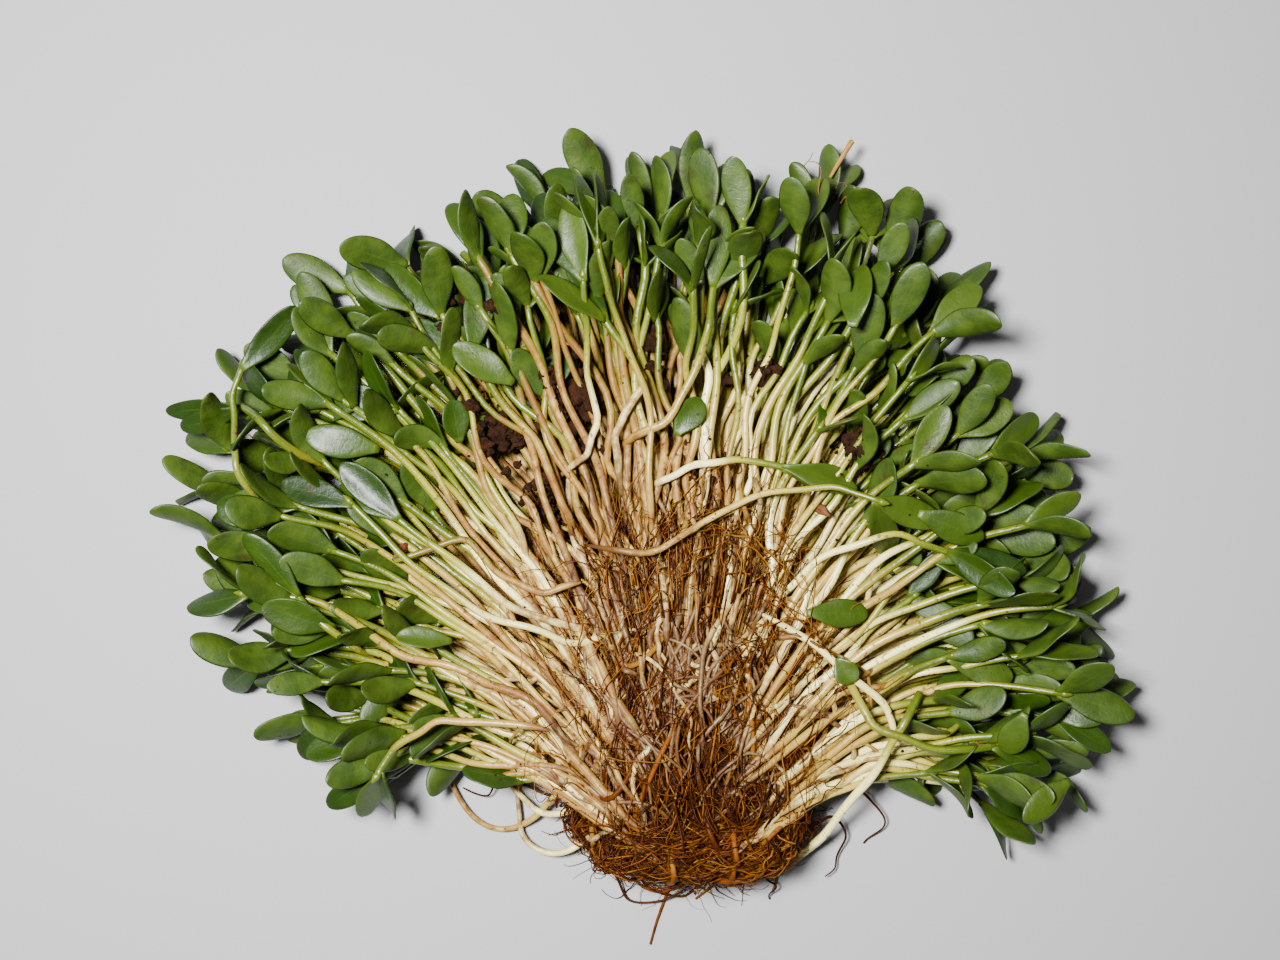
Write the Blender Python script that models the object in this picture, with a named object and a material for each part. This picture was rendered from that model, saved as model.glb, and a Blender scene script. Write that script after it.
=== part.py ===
"""A clump of leafy seedlings with their matted roots, lying on its side and spread like a fan.

Metres, +Z up. The origin is on the surface that the clump lies on, under the crown of the roots,
and +Y points to the middle of the fan. Every seedling has a pale stem and two fleshy seed leaves.
The seedlings are grown bunch by bunch: each bunch stands in a plain hole in the root mat.
"""

import math
import random
from dataclasses import dataclass

import bmesh
import bpy
import numpy as np
from mathutils import Matrix, Vector, noise
from mathutils.bvhtree import BVHTree

MM = 0.001
SEED = 23

# The fan, in degrees from +X and millimetres from the crown to the furthest leaf tips
RIM = (
    (3, 88), (8, 108), (14, 122), (30, 132), (45, 150), (60, 157), (66, 174), (73, 190),
    (90, 193), (112, 194), (130, 198), (140, 192), (150, 170), (158, 150), (165, 124), (171, 100),
)
FAN_SPREAD_AT_ROOTS = 0.72
BEND_REACH = 0.5
HEAP_HEIGHT = ((0.0, 27), (0.25, 23), (0.5, 23), (0.8, 32), (1.0, 28))

# The root mat, an egg in plan with a flat underside
MAT_CENTRE = Vector((-4, 10, 13)) * MM
MAT_HALF_WIDTH = 30 * MM
MAT_REACH_UP = 64 * MM
MAT_REACH_DOWN = 20 * MM
MAT_HALF_HEIGHT = 17 * MM
MAT_SKIN = 1 * MM
MAT_LUMP = 4.5 * MM
MAT_STEEPNESS = 3

# Bunches: layer name and how many lie side by side in it
LAYERS = (("low", 17), ("mid", 16), ("top", 15))
SEEDLINGS_IN_A_BUNCH = (2, 2, 2, 2, 3)
TRIES = 220

# One seedling
STEM_RADIUS = 1.2 * MM
ROOT_END_RADIUS = 0.8 * MM
STEM_STEPS = 5
LEAF_LENGTH = (17 * MM, 22 * MM)
LEAF_WIDTH = (8.5 * MM, 10.5 * MM)
LEAF_THICKNESS = 1.5 * MM
LEAF_SUNK = 1.6 * MM
BLADE_STATIONS = (0.28, 0.6, 0.88)
CLEARANCE = 0.35 * MM

# The root plug at the foot of each bunch, and the hole it stands in
PLUG_SIDES = 5
PLUG_INSIDE = 8 * MM
PLUG_OUTSIDE = 3.5 * MM
PLUG_RADIUS = (1.8 * MM, 3.0 * MM)
HOLE_CLEARANCE = 0.4 * MM
HOLE_REACH = 18 * MM

# Roots that arch over the mat, and roots that trail on the surface below it
MAT_ROOTS = 15
MAT_ROOT_RADIUS = 0.75 * MM
TRAILING_ROOTS = (
    ((-6, 0), (-7, -9), (-10, -16), (-13, -24), (-15, -31)),
    ((-4, 2), (-1, -9), (-6, -14), (-13, -16), (-19, -13), (-22, -6), (-19, 2)),
    ((2, 2), (5, -9), (4, -13), (-2, -18)),
    ((13, 4), (16, -8), (21, -11), (20, -16)),
    ((-24, 6), (-29, -1), (-27, -7), (-18, -9), (-10, -4)),
)
TRAILING_ROOT_RADIUS = 0.6 * MM

# Single seedlings that fell across the heap: points in plan, from root end to leaves
STRAYS = (
    ("stray_long", ((-33, 84), (-16, 84), (-2, 90), (15, 97), (34, 99), (46, 96)), (-20, 12)),
    ("stray_fallen", ((-42, 35), (-58, 36), (-72, 37), (-82, 31), (-87, 24)), (40, -25)),
    ("stray_bent", ((14, 66), (30, 57), (47, 42), (52, 31), (66, 33), (76, 38)), (25, -10)),
    ("stray_cut", ((24, -8), (32, 2), (40, 16), (48, 30), (58, 44)), ()),
    ("stray_root", ((-34, 74), (-44, 71), (-57, 77), (-66, 85), (-84, 80)), ()),
)

STRAY_TRIES = 25

# Lumps of soil caught among the stems: places in plan and size
SOIL_LUMPS = ((-34, 124, 6.5), (-57, 115, 5.5), (-15, 104, 4.5), (43, 111, 5.0))

COLOURS = {
    "root": ((0.36, 0.19, 0.07, 1), 0.75),
    "stem": ((0.78, 0.76, 0.50, 1), 0.45),
    "leaf": ((0.10, 0.27, 0.04, 1), 0.38),
    "soil": ((0.13, 0.06, 0.03, 1), 0.85),
}
ROOT_SLOT, STEM_SLOT, LEAF_SLOT = range(3)


@dataclass
class Leaf:
    base: Vector
    forward: Vector
    normal: Vector
    length: float
    width: float
    curl: float


@dataclass
class Seedling:
    stem: list
    leaves: list


@dataclass
class Bunch:
    name: str
    layer: int
    across: tuple
    up: tuple
    seedlings: int


def rim_point(across):
    """Where the furthest leaf tips lie, from the right end of the fan (0) to the left end (1)."""
    degrees, reach = zip(*RIM)
    angle = degrees[0] + (degrees[-1] - degrees[0]) * across
    radius = np.interp(angle, degrees, reach) * MM
    return Vector((radius * math.cos(math.radians(angle)), radius * math.sin(math.radians(angle)), 0))


def mat_outline(turn):
    """A point of the mat's egg-shaped outline, turn radians round from +X."""
    reach = MAT_REACH_UP if math.sin(turn) > 0 else MAT_REACH_DOWN
    return Vector((MAT_HALF_WIDTH * math.cos(turn), reach * math.sin(turn), 0)) + MAT_CENTRE * 1.0


def mat_point(across):
    """The point of the mat's upper outline at that share of its length, right to left."""
    turns = np.linspace(0, math.pi, 181)
    points = [mat_outline(turn) for turn in turns]
    steps = [0.0] + [(b - a).length for a, b in zip(points, points[1:])]
    turn = np.interp(across * sum(steps), np.cumsum(steps), turns)
    point = mat_outline(turn)
    point.z = 0
    return point


def start_direction(across):
    """The way the stems leave the mat: the fan is narrower there than at its rim."""
    middle = math.pi / 2
    rim = rim_point(across)
    angle = middle + (math.atan2(rim.y, rim.x) - middle) * FAN_SPREAD_AT_ROOTS
    return Vector((math.cos(angle), math.sin(angle), 0))


def fan_point(across, along, up):
    """A point of the heap: right to left, from the roots to the rim, and from the surface to the top."""
    start, end = mat_point(across), rim_point(across)
    bend = start + start_direction(across) * (end - start).length * BEND_REACH
    point = start * (1 - along) ** 2 + bend * 2 * along * (1 - along) + end * along**2
    shares, heights = zip(*HEAP_HEIGHT)
    point.z = up * np.interp(along, shares, heights) * MM
    return point


def bunches(rng):
    """Every bunch of the heap, from the lowest layer up."""
    found = []
    for layer, (label, count) in enumerate(LAYERS):
        for i in range(count):
            across = (i / count, (i + 1) / count)
            up = (layer / len(LAYERS), (layer + 1) / len(LAYERS))
            name = f"bunch_{label}_{i + 1:02d}"
            found.append(Bunch(name, layer, across, up, rng.choice(SEEDLINGS_IN_A_BUNCH)))
    return found


def draw_leaf(rng, base, forward, opening_axis, opening):
    """One seed leaf that opens from the stem's own direction towards opening_axis."""
    sideways = forward.cross(opening_axis).normalized()
    turned = forward * math.cos(opening) + opening_axis * math.sin(opening)
    inner_face = forward * math.sin(opening) - opening_axis * math.cos(opening)
    yaw = Matrix.Rotation(rng.gauss(0, 0.3), 3, "Z")
    twist = Matrix.Rotation(rng.gauss(0, 0.35), 3, turned)
    return Leaf(
        base=base.copy(),
        forward=(yaw @ turned).normalized(),
        normal=(yaw @ twist @ inner_face).normalized(),
        length=rng.uniform(*LEAF_LENGTH),
        width=rng.uniform(*LEAF_WIDTH) * (0.92 + 0.08 * abs(sideways.z)),
        curl=rng.uniform(-0.15, 0.75),
    )


def draw_leaves(rng, base, forward):
    """The pair of seed leaves at a stem's end."""
    flat = forward.cross(Vector((0, 0, 1))).normalized()
    upward = flat.cross(forward).normalized()
    roll = rng.gauss(0, 0.65)
    axis = upward * math.cos(roll) + flat * math.sin(roll)
    opening = rng.uniform(0.12, 0.75)
    return [draw_leaf(rng, base, forward, axis * side, opening) for side in (1, -1)]


def draw_seedling(rng, bunch, lane, freedom):
    """A seedling of the bunch. lane, from -1 to 1, is where it lies across the bunch.

    freedom, from 1 down to 0, is how far it may wander from the middle of its lane.
    """
    low, high = bunch.across
    middle, half = (low + high) / 2, (high - low) / 2
    width_at_mat = (mat_point(high) - mat_point(low)).length / 2
    width_at_rim = (rim_point(high) - rim_point(low)).length / 2
    shorter = (0.0, 0.03, 0.07)[bunch.layer]
    rim = rim_point(middle).length
    end = 1 - (rng.uniform(12, 16) + abs(rng.gauss(0, 15))) * MM / rim - shorter
    wave, turns, phase = rng.uniform(0.1, 0.5) * freedom, rng.uniform(0.6, 1.5), rng.uniform(0, 2 * math.pi)
    rise, height = rng.uniform(-0.3, 0.3) * freedom, rng.uniform(-0.22, 0.22) * freedom
    drift = rng.gauss(0, 0.25) * freedom
    stem = []
    for step in range(STEM_STEPS + 1):
        along = end * step / STEM_STEPS
        share = step / STEM_STEPS
        half_width = width_at_mat + (width_at_rim - width_at_mat) * along
        room = 1 - (STEM_RADIUS + CLEARANCE) * 1.1 / half_width
        offset = lane * share**0.5 * 0.62 + drift * share**2
        offset += wave * math.sin(turns * 2 * math.pi * share + phase) * math.sin(math.pi * share)
        offset = max(-room, min(room, offset))
        level = 0.5 + height * math.sin(math.pi * share) + rise * share
        if bunch.layer == len(LAYERS) - 1:
            level += 1.5 * (1 - freedom) * share
        up = bunch.up[0] + (bunch.up[1] - bunch.up[0]) * level
        stem.append(fan_point(middle + half * offset, along, up))
    return with_leaves(rng, stem)


def with_leaves(rng, stem):
    forward = (stem[-1] - stem[-2]).normalized()
    return Seedling(stem, draw_leaves(rng, stem[-1] - forward * LEAF_SUNK, forward))


def settle(seedling, on_surface):
    """Lifts the leafy end clear of the surface, or lowers it until a leaf rests there."""
    corners = [corner for leaf in seedling.leaves for corner in blade(leaf)[0]]
    lowest = min(corner.z for corner in corners)
    lift = -lowest if on_surface or lowest < 0 else 0.0
    last = len(seedling.stem) - 1
    for step, point in enumerate(seedling.stem):
        point.z = max(point.z + lift * (step / last) ** 2, 2 * STEM_RADIUS)
    shift = seedling.stem[-1].z
    for leaf in seedling.leaves:
        leaf.base.z += lift
    return shift >= 2 * STEM_RADIUS


def blade_axis(leaf, share):
    """The point on a blade's midline at that share of its length, with its forward and normal there."""
    angle = leaf.curl * share
    forward = leaf.forward * math.cos(angle) - leaf.normal * math.sin(angle)
    normal = leaf.normal * math.cos(angle) + leaf.forward * math.sin(angle)
    if abs(leaf.curl) < 0.01:
        return leaf.base + leaf.forward * leaf.length * share, forward, normal
    radius = leaf.length / leaf.curl
    bow = leaf.forward * math.sin(angle) - leaf.normal * (1 - math.cos(angle))
    return leaf.base + bow * radius, forward, normal


def blade_width(share):
    """Half the blade's breadth at that share of its length, as a share of half its full width."""
    widest = 0.8 / 1.4
    return share**0.8 * (1 - share) ** 0.6 / (widest**0.8 * (1 - widest) ** 0.6)


def blade(leaf, grown=0.0):
    """Corners and triangles of a blade with a four-sided section, grown all round by that much."""
    corners = [blade_axis(leaf, 0.0)[0] - leaf.forward * grown]
    for share in BLADE_STATIONS:
        point, forward, normal = blade_axis(leaf, share)
        side = forward.cross(normal) * (leaf.width / 2 * blade_width(share) + grown)
        thick = normal * (LEAF_THICKNESS / 2 * (1.1 - 0.35 * share) + grown)
        corners += [point - side, point + thick, point + side, point - thick]
    point, forward, _ = blade_axis(leaf, 1.0)
    corners.append(point + forward * grown)
    triangles = [(0, 1 + (k + 1) % 4, 1 + k) for k in range(4)]
    for row in range(len(BLADE_STATIONS) - 1):
        first, second = 1 + 4 * row, 5 + 4 * row
        for k in range(4):
            after = (k + 1) % 4
            edge, ridge = (k, after) if k % 2 == 0 else (after, k)
            corner = [first + k, first + after, second + after, second + k]
            if k % 2 == 0:
                triangles += [(corner[0], corner[1], corner[3]), (corner[1], corner[2], corner[3])]
            else:
                triangles += [(corner[0], corner[1], corner[2]), (corner[0], corner[2], corner[3])]
    last = 1 + 4 * (len(BLADE_STATIONS) - 1)
    tip = last + 4
    triangles += [(tip, last + k, last + (k + 1) % 4) for k in range(4)]
    return corners, triangles


def tube(points, radius):
    """Corners and triangles of a square sleeve round a stem, for testing what lies clear of it."""
    corners, triangles = [], []
    for i, point in enumerate(points):
        forward = (points[min(i + 1, len(points) - 1)] - points[max(i - 1, 0)]).normalized()
        side = forward.cross(Vector((0, 0, 1))).normalized()
        over = side.cross(forward)
        corners += [point + (side * a + over * b) * radius for a, b in ((1, 1), (-1, 1), (-1, -1), (1, -1))]
    for row in range(len(points) - 1):
        first, second = 4 * row, 4 * row + 4
        for k in range(4):
            after = (k + 1) % 4
            triangles.append((first + k, first + after, second + k))
            triangles.append((first + after, second + after, second + k))
    return corners, triangles


def sleeve(seedling, grown):
    """The seedling's own form, grown all round, as one tree of triangles with its box."""
    corners, triangles = tube(seedling.stem, STEM_RADIUS + grown)
    for leaf in seedling.leaves:
        more, faces = blade(leaf, grown)
        triangles += [tuple(len(corners) + i for i in face) for face in faces]
        corners += more
    tree = BVHTree.FromPolygons(corners, triangles)
    places = np.array(corners)
    return tree, places.min(axis=0), places.max(axis=0)


class Heap:
    """What has been laid so far. Things of one group may cross, because they grow together."""

    def __init__(self):
        self.laid = []

    def is_clear(self, group, form):
        tree, low, high = form
        for other_group, other, other_low, other_high in self.laid:
            apart = (low > other_high).any() or (high < other_low).any()
            if other_group != group and not apart and tree.overlap(other):
                return False
        return True

    def lay(self, group, form):
        self.laid.append((group, *form))

    def top_at(self, x, y):
        """The height of what lies highest at that place in plan."""
        top = 0.0
        for _, tree, low, high in self.laid:
            if low[0] <= x <= high[0] and low[1] <= y <= high[1]:
                hit = tree.ray_cast(Vector((x, y, 0.2)), Vector((0, 0, -1)))[0]
                top = max(top, hit.z) if hit else top
        return top


def grow_bunch(rng, bunch, heap):
    """The bunch's seedlings, each drawn again until it lies clear of everything but the shared plug."""
    grown = []
    siblings = Heap()
    for i in range(bunch.seedlings):
        lane = (2 * i + 1) / bunch.seedlings - 1
        for attempt in range(TRIES):
            seedling = draw_seedling(rng, bunch, lane, 1 - attempt / TRIES)
            if not settle(seedling, bunch.layer == 0):
                continue
            upper_part = Seedling(seedling.stem[2:], seedling.leaves)
            if heap.is_clear(bunch.name, sleeve(seedling, CLEARANCE)) and siblings.is_clear("", sleeve(upper_part, 0)):
                heap.lay(bunch.name, sleeve(seedling, 0.0))
                siblings.lay(f"{i}", sleeve(upper_part, 0))
                grown.append(seedling)
                break
    return grown


def raised_points(plan, height):
    return [Vector((x * MM, y * MM, height)) for x, y in plan]


def draped_points(plan, heap):
    """Points along a stem that lies over the heap and bridges its dips."""
    points = raised_points(plan, 0.0)
    middles = [(a + b) / 2 for a, b in zip(points, points[1:])]
    points = [point for pair in zip(points, middles) for point in pair] + [points[-1]]
    for point in points:
        near = [(0, 0), (3, 0), (-3, 0), (0, 3), (0, -3)]
        point.z = max(heap.top_at(point.x + dx * MM, point.y + dy * MM) for dx, dy in near)
    for _ in range(4):
        for before, point, after in zip(points, points[1:], points[2:]):
            point.z = max(point.z, (before.z + after.z) / 2)
    return points


def lay_stray(rng, name, plan, leaf_turns, heap):
    """A single seedling laid over the heap, raised until it is clear of what lies under it."""
    height = STEM_RADIUS
    draped = draped_points(plan, heap)
    while True:
        stem = [point + Vector((0, 0, height)) for point in draped]
        for _ in range(STRAY_TRIES):
            leaves = [stray_leaf(rng, stem, degrees, heap) for degrees in leaf_turns]
            seedling = Seedling(stem, leaves)
            if heap.is_clear(name, sleeve(seedling, CLEARANCE)):
                heap.lay(name, sleeve(seedling, 0.0))
                return seedling
        height += 0.4 * MM


def stray_leaf(rng, stem, degrees, heap):
    """A seed leaf at the end of a fallen stem, turned that far in plan and sloped with the heap."""
    forward = (stem[-1] - stem[-2]).normalized()
    turned = Matrix.Rotation(math.radians(degrees) + rng.gauss(0, 0.3), 3, "Z") @ forward
    tip = stem[-1] + turned * LEAF_LENGTH[1]
    slope = (heap.top_at(tip.x, tip.y) + STEM_RADIUS - stem[-1].z) / LEAF_LENGTH[1]
    turned.z = max(-0.9, min(0.9, slope + rng.gauss(0, 0.2)))
    turned.normalize()
    normal = Vector((rng.gauss(0, 0.4), rng.gauss(0, 0.4), 1))
    normal = (normal - turned * normal.dot(turned)).normalized()
    base = stem[-1] - forward * LEAF_SUNK
    return Leaf(base, turned, normal, LEAF_LENGTH[1], LEAF_WIDTH[0], rng.uniform(-0.3, 0.3))


def lump(centre, radius, seed):
    """A rough, flattened lump of soil."""
    shape = bmesh.new()
    bmesh.ops.create_icosphere(shape, subdivisions=2, radius=radius)
    for vertex in shape.verts:
        shift = noise.noise(vertex.co / (0.75 * radius) + Vector((seed, 0, 0)))
        vertex.co *= 0.95 + 0.75 * shift
        vertex.co.z *= 0.8
        vertex.co += centre
    return shape


def form_of(shape):
    """A mesh that is being edited, as one tree of triangles with its box."""
    places = np.array([vertex.co for vertex in shape.verts])
    return BVHTree.FromBMesh(shape), places.min(axis=0), places.max(axis=0)


def lay_soil(index, place, heap):
    """A lump of soil among the stems, raised until it is clear."""
    x, y, radius = place
    height = radius
    while True:
        shape = lump(Vector((x, y, height)) * MM, radius * MM, 3.7 * index)
        form = form_of(shape)
        if heap.is_clear(f"soil_lump_{index}", form):
            heap.lay(f"soil_lump_{index}", form)
            return shape
        shape.free()
        height += 0.5


def material(name):
    colour, roughness = COLOURS[name]
    made = bpy.data.materials.new(name)
    made.use_nodes = True
    shader = made.node_tree.nodes["Principled BSDF"]
    shader.inputs["Base Color"].default_value = colour
    shader.inputs["Roughness"].default_value = roughness
    shader.inputs["Metallic"].default_value = 0.0
    return made


def new_object(name, mesh, collection, materials):
    made = bpy.data.objects.new(name, mesh)
    for each in materials:
        mesh.materials.append(each)
    collection.objects.link(made)
    return made


def stem_object(points, collection, materials, slot, radius=STEM_RADIUS, end_radius=ROOT_END_RADIUS):
    """A tube along the points, thinner at its root end, made a closed mesh so that it can be joined."""
    curve = bpy.data.curves.new("tube", "CURVE")
    curve.dimensions = "3D"
    curve.bevel_depth = radius
    curve.bevel_resolution = 0
    curve.use_fill_caps = True
    spline = curve.splines.new("POLY")
    spline.points.add(len(points) - 1)
    for i, point in enumerate(points):
        spline.points[i].co = (*point, 1)
        spline.points[i].radius = 1 if i else end_radius / radius
    guide = bpy.data.objects.new("tube", curve)
    bpy.context.scene.collection.objects.link(guide)
    evaluated = guide.evaluated_get(bpy.context.evaluated_depsgraph_get())
    mesh = bpy.data.meshes.new_from_object(evaluated)
    shape = bmesh.new()
    shape.from_mesh(mesh)
    bmesh.ops.remove_doubles(shape, verts=shape.verts, dist=0.01 * MM)
    for face in shape.faces:
        face.material_index = slot
    shape.to_mesh(mesh)
    shape.free()
    mesh.materials.clear()
    bpy.data.objects.remove(guide)
    return new_object("tube", mesh, collection, materials)


def blade_object(leaf, collection, materials):
    corners, triangles = blade(leaf)
    mesh = bpy.data.meshes.new("blade")
    mesh.from_pydata(corners, [], triangles)
    shape = bmesh.new()
    shape.from_mesh(mesh)
    bmesh.ops.recalc_face_normals(shape, faces=shape.faces)
    for face in shape.faces:
        face.material_index = LEAF_SLOT
    shape.to_mesh(mesh)
    shape.free()
    return new_object("blade", mesh, collection, materials)


def plug_shape(bunch, grown=0.0, further=0.0):
    """The tapered foot of a bunch, as a cone along the way its stems leave the mat."""
    middle = sum(bunch.across) / 2
    centre = fan_point(middle, 0.0, sum(bunch.up) / 2)
    forward = start_direction(middle)
    inside, outside = PLUG_INSIDE + grown, PLUG_OUTSIDE + further
    thin, thick = PLUG_RADIUS
    flare = (thick - thin) / (PLUG_INSIDE + PLUG_OUTSIDE)
    shape = bmesh.new()
    bmesh.ops.create_cone(
        shape,
        cap_ends=True,
        segments=PLUG_SIDES,
        radius1=thin - flare * grown + grown,
        radius2=thick + flare * further + grown,
        depth=inside + outside,
    )
    turn = forward.to_track_quat("Z", "Y").to_matrix().to_4x4()
    place = Matrix.Translation(centre + forward * (outside - inside) / 2)
    bmesh.ops.transform(shape, matrix=place @ turn, verts=shape.verts)
    return shape


def plug_object(name, bunch, collection, materials, **sizes):
    shape = plug_shape(bunch, **sizes)
    mesh = bpy.data.meshes.new(name)
    shape.to_mesh(mesh)
    shape.free()
    return new_object(name, mesh, collection, materials)


def combine(target, others, operation, solver="MANIFOLD"):
    """One Boolean of the target with everything in a collection, applied, with the others removed."""
    modifier = target.modifiers.new("join", "BOOLEAN")
    modifier.operation = operation
    modifier.operand_type = "COLLECTION"
    modifier.collection = others
    modifier.solver = solver
    evaluated = target.evaluated_get(bpy.context.evaluated_depsgraph_get())
    mesh = bpy.data.meshes.new_from_object(evaluated)
    target.modifiers.clear()
    target.data = mesh
    for other in list(others.objects):
        bpy.data.objects.remove(other)
    keep_largest_body(mesh)


def keep_largest_body(mesh):
    """Drops loose scraps, and fills sealed hollows by dropping their walls."""
    shape = bmesh.new()
    shape.from_mesh(mesh)
    unseen = set(shape.verts)
    bodies = []
    while unseen:
        front = [unseen.pop()]
        body = set(front)
        while front:
            vertex = front.pop()
            for edge in vertex.link_edges:
                other = edge.other_vert(vertex)
                if other in unseen:
                    unseen.discard(other)
                    body.add(other)
                    front.append(other)
        bodies.append(body)
    largest = max(bodies, key=len)
    scraps = [vertex for body in bodies if body is not largest for vertex in body]
    bmesh.ops.delete(shape, geom=scraps, context="VERTS")
    shape.to_mesh(mesh)
    shape.free()


def mat_surface(direction):
    """Where a ray from the mat's centre in that direction leaves the mat, without its lumps."""
    plan = math.hypot(direction.x, direction.y)
    stretch = (plan**MAT_STEEPNESS + abs(direction.z) ** MAT_STEEPNESS) ** (-1 / MAT_STEEPNESS)
    reach = MAT_REACH_UP if direction.y > 0 else MAT_REACH_DOWN
    sizes = (MAT_HALF_WIDTH + MAT_SKIN, reach + MAT_SKIN, MAT_HALF_HEIGHT)
    return Vector([stretch * part * size for part, size in zip(direction, sizes)])


def mat_object(collection, materials):
    """The mat's body: a lumpy egg with steep sides, flat where it lies."""
    shape = bmesh.new()
    bmesh.ops.create_icosphere(shape, subdivisions=3, radius=1)
    for vertex in shape.verts:
        direction = vertex.co.normalized()
        surface = mat_surface(direction)
        swelling = MAT_LUMP * noise.noise(surface / (8 * MM))
        vertex.co = surface + direction * swelling + MAT_CENTRE
        vertex.co.z = max(vertex.co.z, 0.0)
    bmesh.ops.dissolve_limit(shape, angle_limit=0.001, verts=shape.verts, edges=shape.edges)
    mesh = bpy.data.meshes.new("root_mat")
    shape.to_mesh(mesh)
    shape.free()
    return new_object("root_mat", mesh, collection, materials)


def mat_root_points(rng):
    """A root that leaves the mat, arches over its top and goes in again."""
    turn, reach = rng.uniform(0, 2 * math.pi), math.sqrt(rng.random()) * 0.72
    heading, bend = rng.uniform(0, 2 * math.pi), rng.gauss(0, 0.35)
    place = Vector((reach * math.cos(turn), reach * math.sin(turn), 0))
    points = []
    for step in range(STEM_STEPS):
        share = step / (STEM_STEPS - 1)
        direction = Vector((place.x, place.y, 0.55)).normalized()
        surface = mat_surface(direction) + MAT_CENTRE
        above = (3.4 * math.sin(math.pi * share) - 1.4) * MM
        points.append(surface + Vector((0, 0, above)))
        place += Vector((math.cos(heading), math.sin(heading), 0)) * 0.085
        heading += bend
    return points


def build_mat(rng, all_bunches, collection, parts, materials):
    """The mat with its arching and trailing roots, and a plain hole for each bunch."""
    mat = mat_object(collection, materials)
    for _ in range(MAT_ROOTS):
        points = mat_root_points(rng)
        stem_object(points, parts, materials, ROOT_SLOT, MAT_ROOT_RADIUS, MAT_ROOT_RADIUS)
    for plan in TRAILING_ROOTS:
        points = raised_points(plan, TRAILING_ROOT_RADIUS + 0.2 * MM)
        points[0].z += 3 * MM
        stem_object(points, parts, materials, ROOT_SLOT, TRAILING_ROOT_RADIUS, TRAILING_ROOT_RADIUS)
    combine(mat, parts, "UNION")
    for bunch in all_bunches:
        plug_object("hole", bunch, parts, [], grown=HOLE_CLEARANCE, further=HOLE_REACH)
    combine(mat, parts, "DIFFERENCE")
    return mat


def build_bunch(bunch, seedlings, collection, parts, materials):
    """The plug with its seedlings, joined into one body."""
    foot = plug_object(bunch.name, bunch, collection, materials)
    for seedling in seedlings:
        add_seedling(seedling, parts, materials)
    combine(foot, parts, "UNION")
    return foot


def add_seedling(seedling, parts, materials):
    stem_object(seedling.stem, parts, materials, STEM_SLOT)
    for leaf in seedling.leaves:
        blade_object(leaf, parts, materials)


def build_stray(name, seedling, collection, parts, materials):
    stem = stem_object(seedling.stem, collection, materials, STEM_SLOT)
    stem.name = name
    for leaf in seedling.leaves:
        blade_object(leaf, parts, materials)
    if seedling.leaves:
        combine(stem, parts, "UNION")
    return stem


def new_collection(name):
    made = bpy.data.collections.new(name)
    bpy.context.scene.collection.children.link(made)
    return made


def main():
    for old in list(bpy.data.objects):
        bpy.data.objects.remove(old)
    collection = new_collection("seedling_clump")
    parts = new_collection("pieces_being_joined")
    made = {name: material(name) for name in COLOURS}
    plant = [made["root"], made["stem"], made["leaf"]]

    rng = random.Random(SEED)
    heap = Heap()
    all_bunches = bunches(random.Random(SEED))
    grown = {}
    for bunch in all_bunches:
        if bunch.layer == len(LAYERS) - 1 and "soil" not in grown:
            grown["soil"] = [lay_soil(i + 1, place, heap) for i, place in enumerate(SOIL_LUMPS)]
        grown[bunch.name] = grow_bunch(rng, bunch, heap)
    mat = build_mat(random.Random(SEED + 1), all_bunches, collection, parts, plant)
    mat_shape = bmesh.new()
    mat_shape.from_mesh(mat.data)
    heap.lay("root_mat", form_of(mat_shape))
    mat_shape.free()
    strays = [(name, lay_stray(rng, name, plan, turns, heap)) for name, plan, turns in STRAYS]

    for bunch in all_bunches:
        build_bunch(bunch, grown[bunch.name], collection, parts, plant)
    for name, seedling in strays:
        build_stray(name, seedling, collection, parts, plant)
    for i, shape in enumerate(grown["soil"]):
        mesh = bpy.data.meshes.new(f"soil_lump_{i + 1}")
        shape.to_mesh(mesh)
        shape.free()
        new_object(mesh.name, mesh, collection, [made["soil"]])
    bpy.data.collections.remove(parts)


main()
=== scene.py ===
"""Dresses the clump of rooted seedlings: fine leaves, stems, root fibres, soil, and the stage.

The coarse seedlings are drawn again here with the same sizes and the same random numbers as in the
part's source, and each is given its fine form in the same place. All lengths are in metres.
"""

import math
import random
from dataclasses import dataclass
from functools import cache
from types import SimpleNamespace

import bmesh
import bpy
import numpy as np
from bpy.props import FloatProperty, FloatVectorProperty, IntProperty, PointerProperty
from bpy.types import Operator, Panel, PropertyGroup
from mathutils import Matrix, Vector, noise
from mathutils.bvhtree import BVHTree


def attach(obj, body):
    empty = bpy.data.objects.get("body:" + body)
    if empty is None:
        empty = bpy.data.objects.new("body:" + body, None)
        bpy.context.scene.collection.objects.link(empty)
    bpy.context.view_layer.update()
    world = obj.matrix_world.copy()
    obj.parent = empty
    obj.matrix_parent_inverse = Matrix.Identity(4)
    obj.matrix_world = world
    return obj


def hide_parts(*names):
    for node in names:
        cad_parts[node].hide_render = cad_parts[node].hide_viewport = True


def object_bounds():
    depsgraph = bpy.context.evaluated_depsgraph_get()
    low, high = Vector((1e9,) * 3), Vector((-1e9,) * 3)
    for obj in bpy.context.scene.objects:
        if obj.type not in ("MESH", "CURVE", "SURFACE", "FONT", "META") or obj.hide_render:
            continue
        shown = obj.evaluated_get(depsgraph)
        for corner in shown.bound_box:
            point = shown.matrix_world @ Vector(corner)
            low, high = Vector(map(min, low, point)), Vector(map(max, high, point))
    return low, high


bl_info = {
    "name": "Seedling Clump",
    "version": (1, 0, 0),
    "blender": (4, 5, 0),
    "location": "3D View > Sidebar > Seedlings",
    "description": "Grows the fine leaves, stems, roots and soil of a clump of rooted seedlings",
    "category": "Object",
}

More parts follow.
